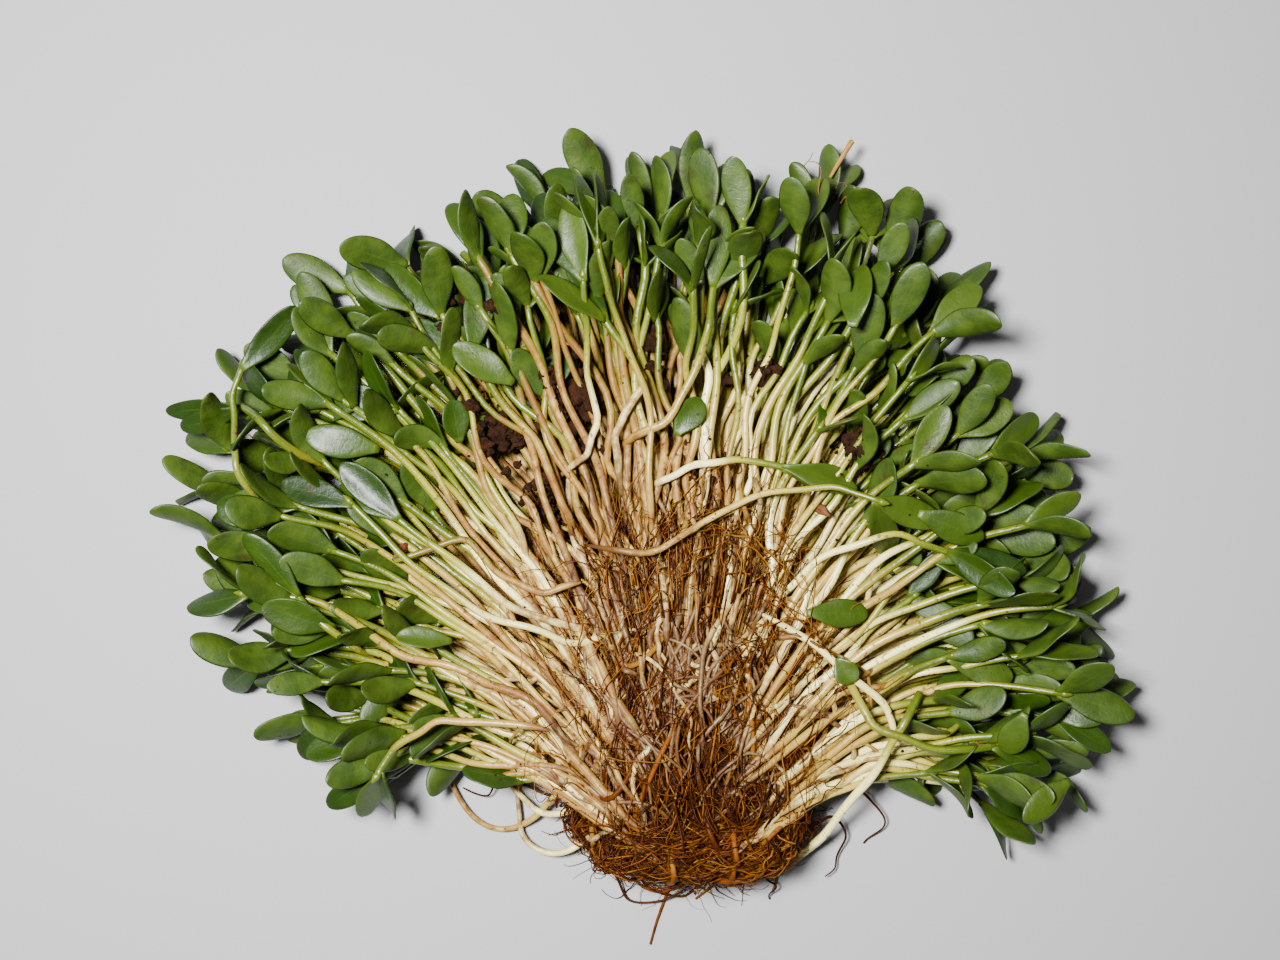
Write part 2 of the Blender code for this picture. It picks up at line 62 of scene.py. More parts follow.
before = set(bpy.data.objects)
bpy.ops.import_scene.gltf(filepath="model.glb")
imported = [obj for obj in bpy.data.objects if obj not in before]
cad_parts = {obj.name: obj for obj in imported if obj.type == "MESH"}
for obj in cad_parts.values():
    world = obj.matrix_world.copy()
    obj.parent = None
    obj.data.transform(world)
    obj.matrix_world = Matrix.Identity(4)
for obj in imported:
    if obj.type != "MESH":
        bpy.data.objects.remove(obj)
CAD_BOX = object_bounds()

MM = 0.001
A_TURN = 6.28
DOWN = Vector((0, 0, -1))
# A height over everything, from which rays look down on the heap
ABOVE_ALL = 0.2

# The random numbers of the layout start from SEED, and those of each group of pieces from SEED and its number
SEED = 23
LARGE_ROOTS, ROOT_TONES, FIBRES, THREADS, STEM_FEET = 1, 2, 3, 4, 5
BUNCHES, FILL, LOOSE, FALLEN, SOIL, SCRAPS = 10, 20, 25, 30, 40, 50

# Whatever rises above this height is pressed down, so that nothing stands above the solids
SOFT_TOP = 38 * MM

# The fan, in degrees from +X and millimetres from the crown to the furthest leaf tips
RIM = (
    (3, 88), (8, 108), (14, 122), (30, 132), (45, 150), (60, 157), (66, 174), (73, 190),
    (90, 193), (112, 194), (130, 198), (140, 192), (150, 170), (158, 150), (165, 124), (171, 100),
)
FAN_SPREAD_AT_ROOTS = 0.72
BEND_REACH = 0.5
HEAP_HEIGHT = ((0.0, 27), (0.25, 23), (0.5, 23), (0.8, 32), (1.0, 28))

# The root mat, an egg in plan with a flat underside
MAT_CENTRE = Vector((-4, 10, 13)) * MM
MAT_HALF_WIDTH = 30 * MM
MAT_REACH_UP = 64 * MM
MAT_REACH_DOWN = 20 * MM
MAT_HALF_HEIGHT = 17 * MM
MAT_SKIN = 1 * MM
MAT_LUMP = 4.5 * MM
MAT_STEEPNESS = 3

# Bunches: layer name and how many lie side by side in it
LAYERS = (("low", 17), ("mid", 16), ("top", 15))
SEEDLINGS_IN_A_BUNCH = (2, 2, 2, 2, 3)
TRIES = 220

# One seedling
STEM_RADIUS = 1.2 * MM
STEM_STEPS = 5
LEAF_LENGTH = (17 * MM, 22 * MM)
LEAF_WIDTH = (8.5 * MM, 10.5 * MM)
LEAF_THICKNESS = 1.5 * MM
LEAF_SUNK = 1.6 * MM
BLADE_STATIONS = (0.28, 0.6, 0.88)
CLEARANCE = 0.35 * MM

# Roots that arch over the mat, and roots that trail on the surface below it
MAT_ROOTS = 15
MAT_ROOT_RADIUS = 0.75 * MM
TRAILING_ROOTS = (
    ((-6, 0), (-7, -9), (-10, -16), (-13, -24), (-15, -31)),
    ((-4, 2), (-1, -9), (-6, -14), (-13, -16), (-19, -13), (-22, -6), (-19, 2)),
    ((2, 2), (5, -9), (4, -13), (-2, -18)),
    ((13, 4), (16, -8), (21, -11), (20, -16)),
    ((-24, 6), (-29, -1), (-27, -7), (-18, -9), (-10, -4)),
)
TRAILING_ROOT_RADIUS = 0.6 * MM

# Single seedlings that fell across the heap: points in plan from the root end on, and turns of the leaves
STRAYS = (
    ("stray_long", ((-33, 84), (-16, 84), (-2, 90), (15, 97), (34, 99), (46, 96)), (-20, 12)),
    ("stray_fallen", ((-42, 35), (-58, 36), (-72, 37), (-82, 31), (-87, 24)), (40, -25)),
    ("stray_bent", ((14, 66), (30, 57), (47, 42), (52, 31), (66, 33), (76, 38)), (25, -10)),
    ("stray_cut", ((24, -8), (32, 2), (40, 16), (48, 30), (58, 44)), ()),
    ("stray_root", ((-34, 74), (-44, 71), (-57, 77), (-66, 85), (-84, 80)), ()),
)
STRAY_TRIES = 25
# How far up its stem the brown of each one reaches
STRAY_STAINS = {
    "stray_root": 0.85, "stray_cut": 0.1, "stray_long": 0.38, "stray_bent": 0.05, "stray_fallen": 0.1,
}

# Lumps of soil caught among the stems: places in plan and size
SOIL_LUMPS = ((-34, 124, 6.5), (-57, 115, 5.5), (-15, 104, 4.5), (43, 111, 5.0))

# Loose leaves on top of the heap: place of the foot, turn in degrees, length and width
LOOSE_LEAVES = (
    (-52, 128, 150, 19, 9), (-69, 58, 172, 15, 6.5), (27, 66, -3, 18, 8), (35, 54, -60, 8, 7),
    (-67, 112, 100, 12, 8), (-8, 114, 60, 12, 8), (-88, 110, 170, 20, 9), (56, 93, -20, 20, 9),
    (96, 22, 215, 17, 8), (84, 40, 250, 14, 8), (-100, 62, 160, 20, 10), (38, 142, 80, 19, 10),
)
# The most that a loose leaf rises or falls, as a share of its length
STEEPEST_LOOSE_LEAF = 0.4
# Single seedlings on top: points in plan, turns of the leaves in degrees, how far up the brown reaches,
# and the share of a whole stem's tones that is left out at the foot
LOOSE_SEEDLINGS = (
    (((-17, 90), (-14, 100), (-4, 106), (9, 107), (22, 105)), (5, -14), 0.42, 0.1),
    (((-118, 92), (-125, 104), (-128, 113), (-128, 124), (-125, 133)), (-12,), 0.0, 0.8),
    (((-100, 102), (-108, 108), (-118, 118), (-127, 122)), (8, 35), 0.0, 0.7),
    (((-92, 52), (-98, 58), (-104, 64), (-110, 72)), (20, -30), 0.0, 0.7),
    (((34, 56), (40, 46), (46, 36), (60, 31), (78, 30)), (15,), 0.0, 0.6),
    (((-22, 58), (-34, 62), (-52, 68), (-70, 82), (-84, 92)), (10, -25), 0.55, 0.1),
    (((-14, 64), (-34, 58), (-56, 64), (-78, 78), (-96, 96)), (25,), 0.3, 0.2),
    (((12, 62), (30, 80), (50, 88), (66, 82)), (10, -20), 0.2, 0.3),
    (((-14, 69), (-14, 92), (-14, 113), (-18, 129), (-27, 148), (-29, 164)), (15, -40), 0.25, 0.1),
    (((-24, 107), (-20, 112), (-10, 118), (-4, 132), (0, 143), (2, 155)), (20, -20), 0.4, 0.2),
    (
        ((-20, 90), (-24, 103), (-25, 113), (-21, 121), (-17, 128), (-22, 137), (-28, 146)),
        (10, -30), 0.7, 0.1,
    ),
    (
        ((-42, 101), (-36, 105), (-30, 109), (-27, 118), (-31, 130), (-31, 143), (-33, 156)),
        (25, -15), 0.6, 0.2,
    ),
    (((-35, 78), (-37, 91), (-40, 99), (-47, 113), (-56, 124), (-64, 137)), (12, -28), 0.65, 0.1),
)
# Bare stem ends that curl out at the foot of the heap, and thin dry roots
CURLS = (
    ((-30, 22), (-40, 14), (-48, 6), (-57, 2), (-64, 5), (-71, 14), (-76, 25), (-74, 36)),
    ((-26, 8), (-35, -1), (-44, -4), (-51, 1), (-53, 10), (-51, 22)),
    ((-28, 14), (-42, 8), (-52, 12), (-60, 20), (-72, 21)),
)
DRY_ROOTS = (
    ((-22, 3), (-27, -3), (-25, -11), (-21, -18), (-12, -18), (-4, -13), (0, -7)),
    ((-12, -2), (-17, -9), (-13, -15), (-5, -17), (0, -12), (-2, -5)),
    ((10, 2), (16, -8), (20, -13), (19, -18)),
    ((32, 12), (41, 15), (49, 10), (51, 3), (46, -2)),
    ((30, 6), (37, 7), (40, 0), (38, -7), (35, -11)),
    ((-32, 12), (-44, 13), (-56, 17), (-62, 12), (-68, 14)),
)
# Husks and dry rootlets: places in plan and turns in radians, with a husk's length
HUSKS = ((72, 29, 0.1, 8), (-108, 100, 2.2, 9), (-85, 80, 0.6, 7), (-12, 60, 1.2, 7), (34, 92, 2.6, 6))
ROOTLETS = ((26, 190, 1.2), (31, 186, 1.9), (38, 187, 0.9), (-124, 120, 2.6), (-104, 132, 1.8))
# The two ends of the dry stick on the far leaves, in plan
DRY_STICK = ((35, 186), (41, 196))
# Where finer soil lies between the stems: places in plan and spread
SOIL_PATCHES = (
    (-36, 124, 5), (-40, 129, 4), (-58, 116, 5), (-64, 120, 4), (-62, 148, 5), (-15, 136, 4),
    (-44, 97, 4), (-30, 107, 4), (-2, 108, 4), (14, 132, 3), (43, 111, 4),
)

# The place that the camera looks straight down on, the level at which its view width is measured,
# the way from that place to the light, and half the width of the surface
VIEW_CENTRE = Vector((-17.9, 101.75, 0)) * MM
VIEW_LEVEL = 18 * MM
LIGHT_AWAY = Vector((-0.14, 0.06, 0.54))
SURFACE_HALF_WIDTH = 1.6

# How fine the dressed forms are
STEM_RINGS, STEM_SIDES = 30, 8
BLADE_ROWS, BLADE_SIDES = 17, 14
FIBRE_SIDES = 3
# Radii of the mat's fibres, and how many threads lie on the surface round the mat
FIBRE_RADII = (0.11, 0.14, 0.16, 0.2, 0.25, 0.36)
SURFACE_THREADS = 240
# Radii of the crumbs near the lumps and of the others, the share of them near the lumps, and that share
# with the crumbs on the mat
LUMP_CRUMBS, SMALL_CRUMBS = (0.4, 0.6, 0.9, 1.3, 1.9), (0.15, 0.2, 0.25, 0.3, 0.4)
AT_LUMPS, AT_LUMPS_OR_MAT = 0.75, 0.85
# How often a place is drawn again for a seedling that finds no room
ROOM_TRIES = 40


# Layout, as in the part's source


@dataclass
class Leaf:
    base: Vector
    forward: Vector
    normal: Vector
    length: float
    width: float
    curl: float


@dataclass
class Seedling:
    stem: list
    leaves: list


@dataclass
class Bunch:
    name: str
    layer: int
    across: tuple
    up: tuple
    seedlings: int


def clamp(value, low, high):
    return max(low, min(high, value))


def scatter(rng, *spreads):
    """A random number round 0 for each of those spreads."""
    return [rng.gauss(0, spread) for spread in spreads]


def heading_to(angle, rise=0.0):
    """A direction at that angle from +X in plan."""
    return Vector((math.cos(angle), math.sin(angle), rise))


def squared(normal, forward):
    """The normal, turned so that it stands square on forward."""
    return (normal - forward * normal.dot(forward)).normalized()


def rim_point(across):
    """Where the furthest leaf tips lie, from the right end of the fan (0) to the left end (1)."""
    degrees, reach = zip(*RIM)
    angle = degrees[0] + (degrees[-1] - degrees[0]) * across
    radius = np.interp(angle, degrees, reach) * MM
    return Vector((radius * math.cos(math.radians(angle)), radius * math.sin(math.radians(angle)), 0))


def mat_outline(turn):
    """A point of the mat's egg-shaped outline, turn radians round from +X."""
    reach = MAT_REACH_UP if math.sin(turn) > 0 else MAT_REACH_DOWN
    return Vector((MAT_HALF_WIDTH * math.cos(turn), reach * math.sin(turn), 0)) + MAT_CENTRE


def mat_point(across):
    """The point of the mat's upper outline at that share of its length, right to left."""
    turns = np.linspace(0, math.pi, 181)
    points = [mat_outline(turn) for turn in turns]
    steps = [0.0] + [(b - a).length for a, b in zip(points, points[1:])]
    turn = np.interp(across * sum(steps), np.cumsum(steps), turns)
    point = mat_outline(turn)
    point.z = 0
    return point


def start_direction(across):
    """The way the stems leave the mat: the fan is narrower there than at its rim."""
    middle = math.pi / 2
    rim = rim_point(across)
    angle = middle + (math.atan2(rim.y, rim.x) - middle) * FAN_SPREAD_AT_ROOTS
    return heading_to(angle)


def fan_point(across, along, up):
    """A point of the heap: right to left, from the roots to the rim, and from the surface to the top."""
    start, end = mat_point(across), rim_point(across)
    bend = start + start_direction(across) * (end - start).length * BEND_REACH
    point = start * (1 - along) ** 2 + bend * 2 * along * (1 - along) + end * along**2
    shares, heights = zip(*HEAP_HEIGHT)
    point.z = up * np.interp(along, shares, heights) * MM
    return point


def bunches(rng):
    """Every bunch of the heap, from the lowest layer up."""
    found = []
    for layer, (label, count) in enumerate(LAYERS):
        for i in range(count):
            across = (i / count, (i + 1) / count)
            up = (layer / len(LAYERS), (layer + 1) / len(LAYERS))
            name = f"bunch_{label}_{i + 1:02d}"
            found.append(Bunch(name, layer, across, up, rng.choice(SEEDLINGS_IN_A_BUNCH)))
    return found


def draw_leaf(rng, base, forward, opening_axis, opening):
    """One seed leaf that opens from the stem's own direction towards opening_axis."""
    sideways = forward.cross(opening_axis).normalized()
    turned = forward * math.cos(opening) + opening_axis * math.sin(opening)
    inner_face = forward * math.sin(opening) - opening_axis * math.cos(opening)
    yaw = Matrix.Rotation(rng.gauss(0, 0.3), 3, "Z")
    twist = Matrix.Rotation(rng.gauss(0, 0.35), 3, turned)
    return Leaf(
        base=base.copy(),
        forward=(yaw @ turned).normalized(),
        normal=(yaw @ twist @ inner_face).normalized(),
        length=rng.uniform(*LEAF_LENGTH),
        width=rng.uniform(*LEAF_WIDTH) * (0.92 + 0.08 * abs(sideways.z)),
        curl=rng.uniform(-0.15, 0.75),
    )


def draw_leaves(rng, base, forward):
    """The pair of seed leaves at a stem's end."""
    flat = forward.cross(Vector((0, 0, 1))).normalized()
    upward = flat.cross(forward).normalized()
    roll = rng.gauss(0, 0.65)
    axis = upward * math.cos(roll) + flat * math.sin(roll)
    opening = rng.uniform(0.12, 0.75)
    return [draw_leaf(rng, base, forward, axis * side, opening) for side in (1, -1)]


def draw_seedling(rng, bunch, lane, freedom):
    """A seedling of the bunch. lane, from -1 to 1, is where it lies across the bunch.

    freedom, from 1 down to 0, is how far it may wander from the middle of its lane.
    """
    low, high = bunch.across
    middle, half = (low + high) / 2, (high - low) / 2
    width_at_mat = (mat_point(high) - mat_point(low)).length / 2
    width_at_rim = (rim_point(high) - rim_point(low)).length / 2
    shorter = (0.0, 0.03, 0.07)[bunch.layer]
    rim = rim_point(middle).length
    end = 1 - (rng.uniform(12, 16) + abs(rng.gauss(0, 15))) * MM / rim - shorter
    wave, turns, phase = rng.uniform(0.1, 0.5) * freedom, rng.uniform(0.6, 1.5), rng.uniform(0, 2 * math.pi)
    rise, height = rng.uniform(-0.3, 0.3) * freedom, rng.uniform(-0.22, 0.22) * freedom
    drift = rng.gauss(0, 0.25) * freedom
    stem = []
    for step in range(STEM_STEPS + 1):
        along = end * step / STEM_STEPS
        share = step / STEM_STEPS
        half_width = width_at_mat + (width_at_rim - width_at_mat) * along
        room = 1 - (STEM_RADIUS + CLEARANCE) * 1.1 / half_width
        offset = lane * share**0.5 * 0.62 + drift * share**2
        offset += wave * math.sin(turns * 2 * math.pi * share + phase) * math.sin(math.pi * share)
        offset = clamp(offset, -room, room)
        level = 0.5 + height * math.sin(math.pi * share) + rise * share
        if bunch.layer == len(LAYERS) - 1:
            level += 1.5 * (1 - freedom) * share
        up = bunch.up[0] + (bunch.up[1] - bunch.up[0]) * level
        stem.append(fan_point(middle + half * offset, along, up))
    return with_leaves(rng, stem)


def with_leaves(rng, stem):
    """The stem with a pair of seed leaves at its end."""
    forward = (stem[-1] - stem[-2]).normalized()
    return Seedling(stem, draw_leaves(rng, stem[-1] - forward * LEAF_SUNK, forward))


def settle(seedling, on_surface):
    """Lifts the leafy end clear of the surface, or lowers it until a leaf rests there.

    Says whether the stem's end keeps at least a stem's thickness above the surface.
    """
    corners = [corner for leaf in seedling.leaves for corner in blade(leaf)[0]]
    lowest = min(corner.z for corner in corners)
    lift = -lowest if on_surface or lowest < 0 else 0.0
    last = len(seedling.stem) - 1
    for step, point in enumerate(seedling.stem):
        point.z = max(point.z + lift * (step / last) ** 2, 2 * STEM_RADIUS)
    for leaf in seedling.leaves:
        leaf.base.z += lift
    return seedling.stem[-1].z >= 2 * STEM_RADIUS


def blade_axis(leaf, share):
    """The point on a blade's midline at that share of its length, with its forward and normal there."""
    angle = leaf.curl * share
    forward = leaf.forward * math.cos(angle) - leaf.normal * math.sin(angle)
    normal = leaf.normal * math.cos(angle) + leaf.forward * math.sin(angle)
    if abs(leaf.curl) < 0.01:
        return leaf.base + leaf.forward * leaf.length * share, forward, normal
    radius = leaf.length / leaf.curl
    bow = leaf.forward * math.sin(angle) - leaf.normal * (1 - math.cos(angle))
    return leaf.base + bow * radius, forward, normal


def blade_width(share):
    """Half the coarse blade's breadth at that share of its length, as a share of half its full width."""
    widest = 0.8 / 1.4
    return share**0.8 * (1 - share) ** 0.6 / (widest**0.8 * (1 - widest) ** 0.6)


def blade(leaf, grown=0.0):
    """Corners and triangles of a blade with a four-sided section, grown all round by that much."""
    corners = [blade_axis(leaf, 0.0)[0] - leaf.forward * grown]
    for share in BLADE_STATIONS:
        point, forward, normal = blade_axis(leaf, share)
        side = forward.cross(normal) * (leaf.width / 2 * blade_width(share) + grown)
        thick = normal * (LEAF_THICKNESS / 2 * (1.1 - 0.35 * share) + grown)
        corners += [point - side, point + thick, point + side, point - thick]
    point, forward, _ = blade_axis(leaf, 1.0)
    corners.append(point + forward * grown)
    triangles = [(0, 1 + (k + 1) % 4, 1 + k) for k in range(4)]
    for row in range(len(BLADE_STATIONS) - 1):
        first, second = 1 + 4 * row, 5 + 4 * row
        for k in range(4):
            after = (k + 1) % 4
            corner = [first + k, first + after, second + after, second + k]
            if k % 2 == 0:
                triangles += [(corner[0], corner[1], corner[3]), (corner[1], corner[2], corner[3])]
            else:
                triangles += [(corner[0], corner[1], corner[2]), (corner[0], corner[2], corner[3])]
    last = 1 + 4 * (len(BLADE_STATIONS) - 1)
    tip = last + 4
    triangles += [(tip, last + k, last + (k + 1) % 4) for k in range(4)]
    return corners, triangles


def tube(points, radius):
    """Corners and triangles of a square sleeve round a stem, for testing what lies clear of it."""
    corners, triangles = [], []
    for i, point in enumerate(points):
        forward = (points[min(i + 1, len(points) - 1)] - points[max(i - 1, 0)]).normalized()
        side = forward.cross(Vector((0, 0, 1))).normalized()
        over = side.cross(forward)
        corners += [point + (side * a + over * b) * radius for a, b in ((1, 1), (-1, 1), (-1, -1), (1, -1))]
    for row in range(len(points) - 1):
        first, second = 4 * row, 4 * row + 4
        for k in range(4):
            after = (k + 1) % 4
            triangles.append((first + k, first + after, second + k))
            triangles.append((first + after, second + after, second + k))
    return corners, triangles


def joined_form(corners, triangles, leaves, grown=0.0):
    """Those triangles and the coarse leaves, grown all round, as one tree of triangles with its box."""
    for leaf in leaves:
        more, faces = blade(leaf, grown)
        triangles += [tuple(len(corners) + i for i in face) for face in faces]
        corners += more
    places = np.array(corners)
    return BVHTree.FromPolygons(corners, triangles), places.min(axis=0), places.max(axis=0)


def sleeve(seedling, grown):
    """The form of the seedling's stem and leaves, grown all round."""
    return joined_form(*tube(seedling.stem, STEM_RADIUS + grown), seedling.leaves, grown)


def leaf_form(seedling):
    """The form of the seedling's leaves alone."""
    return joined_form([], [], seedling.leaves)


class Heap:
    """What has been laid so far. Things of one group may cross, because they grow together."""

    def __init__(self):
        self.laid = []

    def is_clear(self, group, form):
        tree, low, high = form
        for other_group, other, other_low, other_high in self.laid:
            apart = (low > other_high).any() or (high < other_low).any()
            if other_group != group and not apart and tree.overlap(other):
                return False
        return True

    def lay(self, group, form):
        self.laid.append((group, *form))

    def top_at(self, x, y):
        """The height of what lies highest at that place in plan."""
        top = 0.0
        for _, tree, low, high in self.laid:
            if low[0] <= x <= high[0] and low[1] <= y <= high[1]:
                hit = tree.ray_cast(Vector((x, y, ABOVE_ALL)), DOWN)[0]
                top = max(top, hit.z) if hit else top
        return top


def grow_bunch(rng, bunch, heap):
    """The bunch's seedlings, each drawn again until it lies clear of everything but the shared plug."""
    grown = []
    siblings = Heap()
    for i in range(bunch.seedlings):
        lane = (2 * i + 1) / bunch.seedlings - 1
        for attempt in range(TRIES):
            seedling = draw_seedling(rng, bunch, lane, 1 - attempt / TRIES)
            if not settle(seedling, bunch.layer == 0):
                continue
            if not heap.is_clear(bunch.name, sleeve(seedling, CLEARANCE)):
                continue
            upper_form = sleeve(Seedling(seedling.stem[2:], seedling.leaves), 0)
            if siblings.is_clear("", upper_form):
                heap.lay(bunch.name, sleeve(seedling, 0.0))
                siblings.lay(f"{i}", upper_form)
                grown.append(seedling)
                break
    return grown


def raised_points(plan, height):
    """The points of a plan in millimetres, at that height in metres."""
    return [Vector((x * MM, y * MM, height)) for x, y in plan]


def draped_points(plan, heap):
    """Points along a stem that lies over the heap and bridges its dips."""
    points = raised_points(plan, 0.0)
    middles = [(a + b) / 2 for a, b in zip(points, points[1:])]
    points = [point for pair in zip(points, middles) for point in pair] + [points[-1]]
    for point in points:
        near = [(0, 0), (3, 0), (-3, 0), (0, 3), (0, -3)]
        point.z = max(heap.top_at(point.x + dx * MM, point.y + dy * MM) for dx, dy in near)
    for _ in range(4):
        for before, point, after in zip(points, points[1:], points[2:]):
            point.z = max(point.z, (before.z + after.z) / 2)
    return points


def lay_stray(rng, name, plan, leaf_turns, heap):
    """A single seedling laid over the heap, raised until it is clear of what lies under it."""
    height = STEM_RADIUS
    draped = draped_points(plan, heap)
    while True:
        stem = [point + Vector((0, 0, height)) for point in draped]
        for _ in range(STRAY_TRIES):
            leaves = [stray_leaf(rng, stem, degrees, heap) for degrees in leaf_turns]
            seedling = Seedling(stem, leaves)
            if heap.is_clear(name, sleeve(seedling, CLEARANCE)):
                heap.lay(name, sleeve(seedling, 0.0))
                return seedling
        height += 0.4 * MM


def stray_leaf(rng, stem, degrees, heap):
    """A seed leaf at the end of a fallen stem, turned that far in plan and sloped with the heap."""
    forward = (stem[-1] - stem[-2]).normalized()
    turned = Matrix.Rotation(math.radians(degrees) + rng.gauss(0, 0.3), 3, "Z") @ forward
    tip = stem[-1] + turned * LEAF_LENGTH[1]
    slope = (heap.top_at(tip.x, tip.y) + STEM_RADIUS - stem[-1].z) / LEAF_LENGTH[1]
    turned.z = clamp(slope + rng.gauss(0, 0.2), -0.9, 0.9)
    turned.normalize()
    normal = squared(Vector((*scatter(rng, 0.4, 0.4), 1)), turned)
    base = stem[-1] - forward * LEAF_SUNK
    return Leaf(base, turned, normal, LEAF_LENGTH[1], LEAF_WIDTH[0], rng.uniform(-0.3, 0.3))


def lump(centre, radius, seed, subdivisions=2, grain=0.0):
    """A rough, flattened lump of soil, with grain as fine roughness."""
    shape = bmesh.new()
    bmesh.ops.create_icosphere(shape, subdivisions=subdivisions, radius=radius)
    for vertex in shape.verts:
        shift = noise.noise(vertex.co / (0.75 * radius) + Vector((seed, 0, 0)))
        rough = noise.noise(vertex.co / (0.16 * radius) + Vector((seed, 9, 0)))
        rough += 0.6 * noise.noise(vertex.co / (0.07 * radius) + Vector((seed, 0, 9)))
        vertex.co *= 0.95 + 0.75 * shift + grain * rough
        vertex.co.z *= 0.8
        vertex.co += centre
    return shape


def form_of(shape):
    """A mesh that is being edited, as one tree of triangles with its box."""
    places = np.array([vertex.co for vertex in shape.verts])
    return BVHTree.FromBMesh(shape), places.min(axis=0), places.max(axis=0)


def lay_soil(index, place, heap):
    """Where a lump of soil comes to lie among the stems, raised until it is clear."""
    x, y, radius = place
    height = radius
    while True:
        centre = Vector((x, y, height)) * MM
        shape = lump(centre, radius * MM, 3.7 * index)
        form = form_of(shape)
        shape.free()
        if heap.is_clear(f"soil_lump_{index}", form):
            heap.lay(f"soil_lump_{index}", form)
            return centre, radius * MM
        height += 0.5


def mat_surface(direction):
    """Where a ray from the mat's centre in that direction leaves the mat, without its lumps."""
    plan = math.hypot(direction.x, direction.y)
    stretch = (plan**MAT_STEEPNESS + abs(direction.z) ** MAT_STEEPNESS) ** (-1 / MAT_STEEPNESS)
    reach = MAT_REACH_UP if direction.y > 0 else MAT_REACH_DOWN
    sizes = (MAT_HALF_WIDTH + MAT_SKIN, reach + MAT_SKIN, MAT_HALF_HEIGHT)
    return Vector([stretch * part * size for part, size in zip(direction, sizes)])


def lumpy_surface(direction):
    """The mat's surface in that direction, with its lumps and its flat underside."""
    surface = mat_surface(direction)
    surface.y *= 1 - 0.25 * max(0.0, -direction.y)
    swelling = MAT_LUMP * noise.noise(surface / (8 * MM))
    point = surface + direction * swelling + MAT_CENTRE
    point.z = max(point.z, 0.0)
    return point


def mat_root_points(rng):
    """A root that leaves the mat, arches over its top and goes in again."""
    turn, reach = rng.uniform(0, 2 * math.pi), math.sqrt(rng.random()) * 0.72
    heading, bend = rng.uniform(0, 2 * math.pi), rng.gauss(0, 0.35)
    place = Vector((reach * math.cos(turn), reach * math.sin(turn), 0))
    points = []
    for step in range(STEM_STEPS):
        share = step / (STEM_STEPS - 1)
        direction = Vector((place.x, place.y, 0.55)).normalized()
        surface = mat_surface(direction) + MAT_CENTRE
        above = (3.4 * math.sin(math.pi * share) - 1.4) * MM
        points.append(surface + Vector((0, 0, above)))
        place += heading_to(heading) * 0.085
        heading += bend
    return points


class Layout:
    """The whole clump, laid once and then dressed piece by piece."""

    def __init__(self):
        rng = random.Random(SEED)
        self.heap = Heap()
        self.bunches = bunches(random.Random(SEED))
        self.grown, self.soil = {}, []
        for bunch in self.bunches:
            if bunch.layer == len(LAYERS) - 1 and not self.soil:
                self.soil = [lay_soil(i + 1, place, self.heap) for i, place in enumerate(SOIL_LUMPS)]
            self.grown[bunch.name] = grow_bunch(rng, bunch, self.heap)
        mat = bmesh.new()
        mat.from_mesh(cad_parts["root_mat"].data)
        self.mat_form = form_of(mat)
        mat.free()
        self.heap.lay("root_mat", self.mat_form)
        self.strays = {name: lay_stray(rng, name, plan, turns, self.heap) for name, plan, turns in STRAYS}

    def mat_top(self, x, y):
        """The height of the mat's solid at that place in plan, or 0 beside it."""
        hit = self.mat_form[0].ray_cast(Vector((x, y, ABOVE_ALL)), DOWN)[0]
        return hit.z if hit else 0.0


# Fine forms


class Growth:
    """Gathers tubes and blades into one mesh, with what the finishes need to know at each corner.

    along runs from 0 at the root end to 1, across from -1 to 1 over a blade or round a stem,
    tint is the plant's own number from 0 to 1, which on a leaf also carries a painted sheen set by
    the leaf's place, stain is how far its brown foot reaches, and under is 1 on a blade's underside.
    """

    MARKS = ("along", "across", "tint", "stain", "under")

    def __init__(self):
        self.corners, self.faces, self.slots, self.marks = [], [], [], []
        self.count = 0

    def add(self, corners, faces, slot, **marks):
        """Adds a form, pressed down above SOFT_TOP and kept above the surface."""
        corners = np.array(corners, dtype=float)
        over, room = np.maximum(corners[:, 2] - SOFT_TOP, 0), CAD_BOX[1].z - SOFT_TOP
        corners[:, 2] += room * (1 - np.exp(-over / room)) - over
        corners[:, 2] = np.maximum(corners[:, 2], 0)
        self.corners.append(corners)
        self.faces += [tuple(self.count + i for i in face) for face in faces]
        self.slots += [slot] * len(faces)
        values = [np.asarray(marks.get(name, 0.0), dtype=float) for name in self.MARKS]
        self.marks.append(np.stack([np.broadcast_to(value, len(corners)) for value in values]))
        self.count += len(corners)

    def to_piece(self, name, materials, slot, *nodes):
        mesh = bpy.data.meshes.new(name)
        mesh.from_pydata(np.concatenate(self.corners).tolist(), [], self.faces)
        for material in materials:
            mesh.materials.append(material)
        mesh.polygons.foreach_set("material_index", self.slots)
        mesh.shade_smooth()
        for label, values in zip(self.MARKS, np.concatenate(self.marks, axis=1)):
            attribute = mesh.attributes.new(label, "FLOAT", "POINT")
            attribute.data.foreach_set("value", values)
        mesh.update()
        place_piece(name, mesh, slot, *nodes)


def mesh_of(name, shape, *materials):
    """A smooth mesh with those finishes, from a shape that is then let go."""
    mesh = bpy.data.meshes.new(name)
    shape.to_mesh(mesh)
    shape.free()
    for material in materials:
        mesh.materials.append(material)
    mesh.shade_smooth()
    return mesh


def place_piece(name, mesh, slot, *nodes):
    """Links the piece, lets it ride, and hides the plain nodes it stands for."""
    piece = bpy.data.objects.new(name, mesh)
    bpy.context.scene.collection.objects.link(piece)
    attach(piece, "root")
    if nodes:
        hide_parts(*nodes)


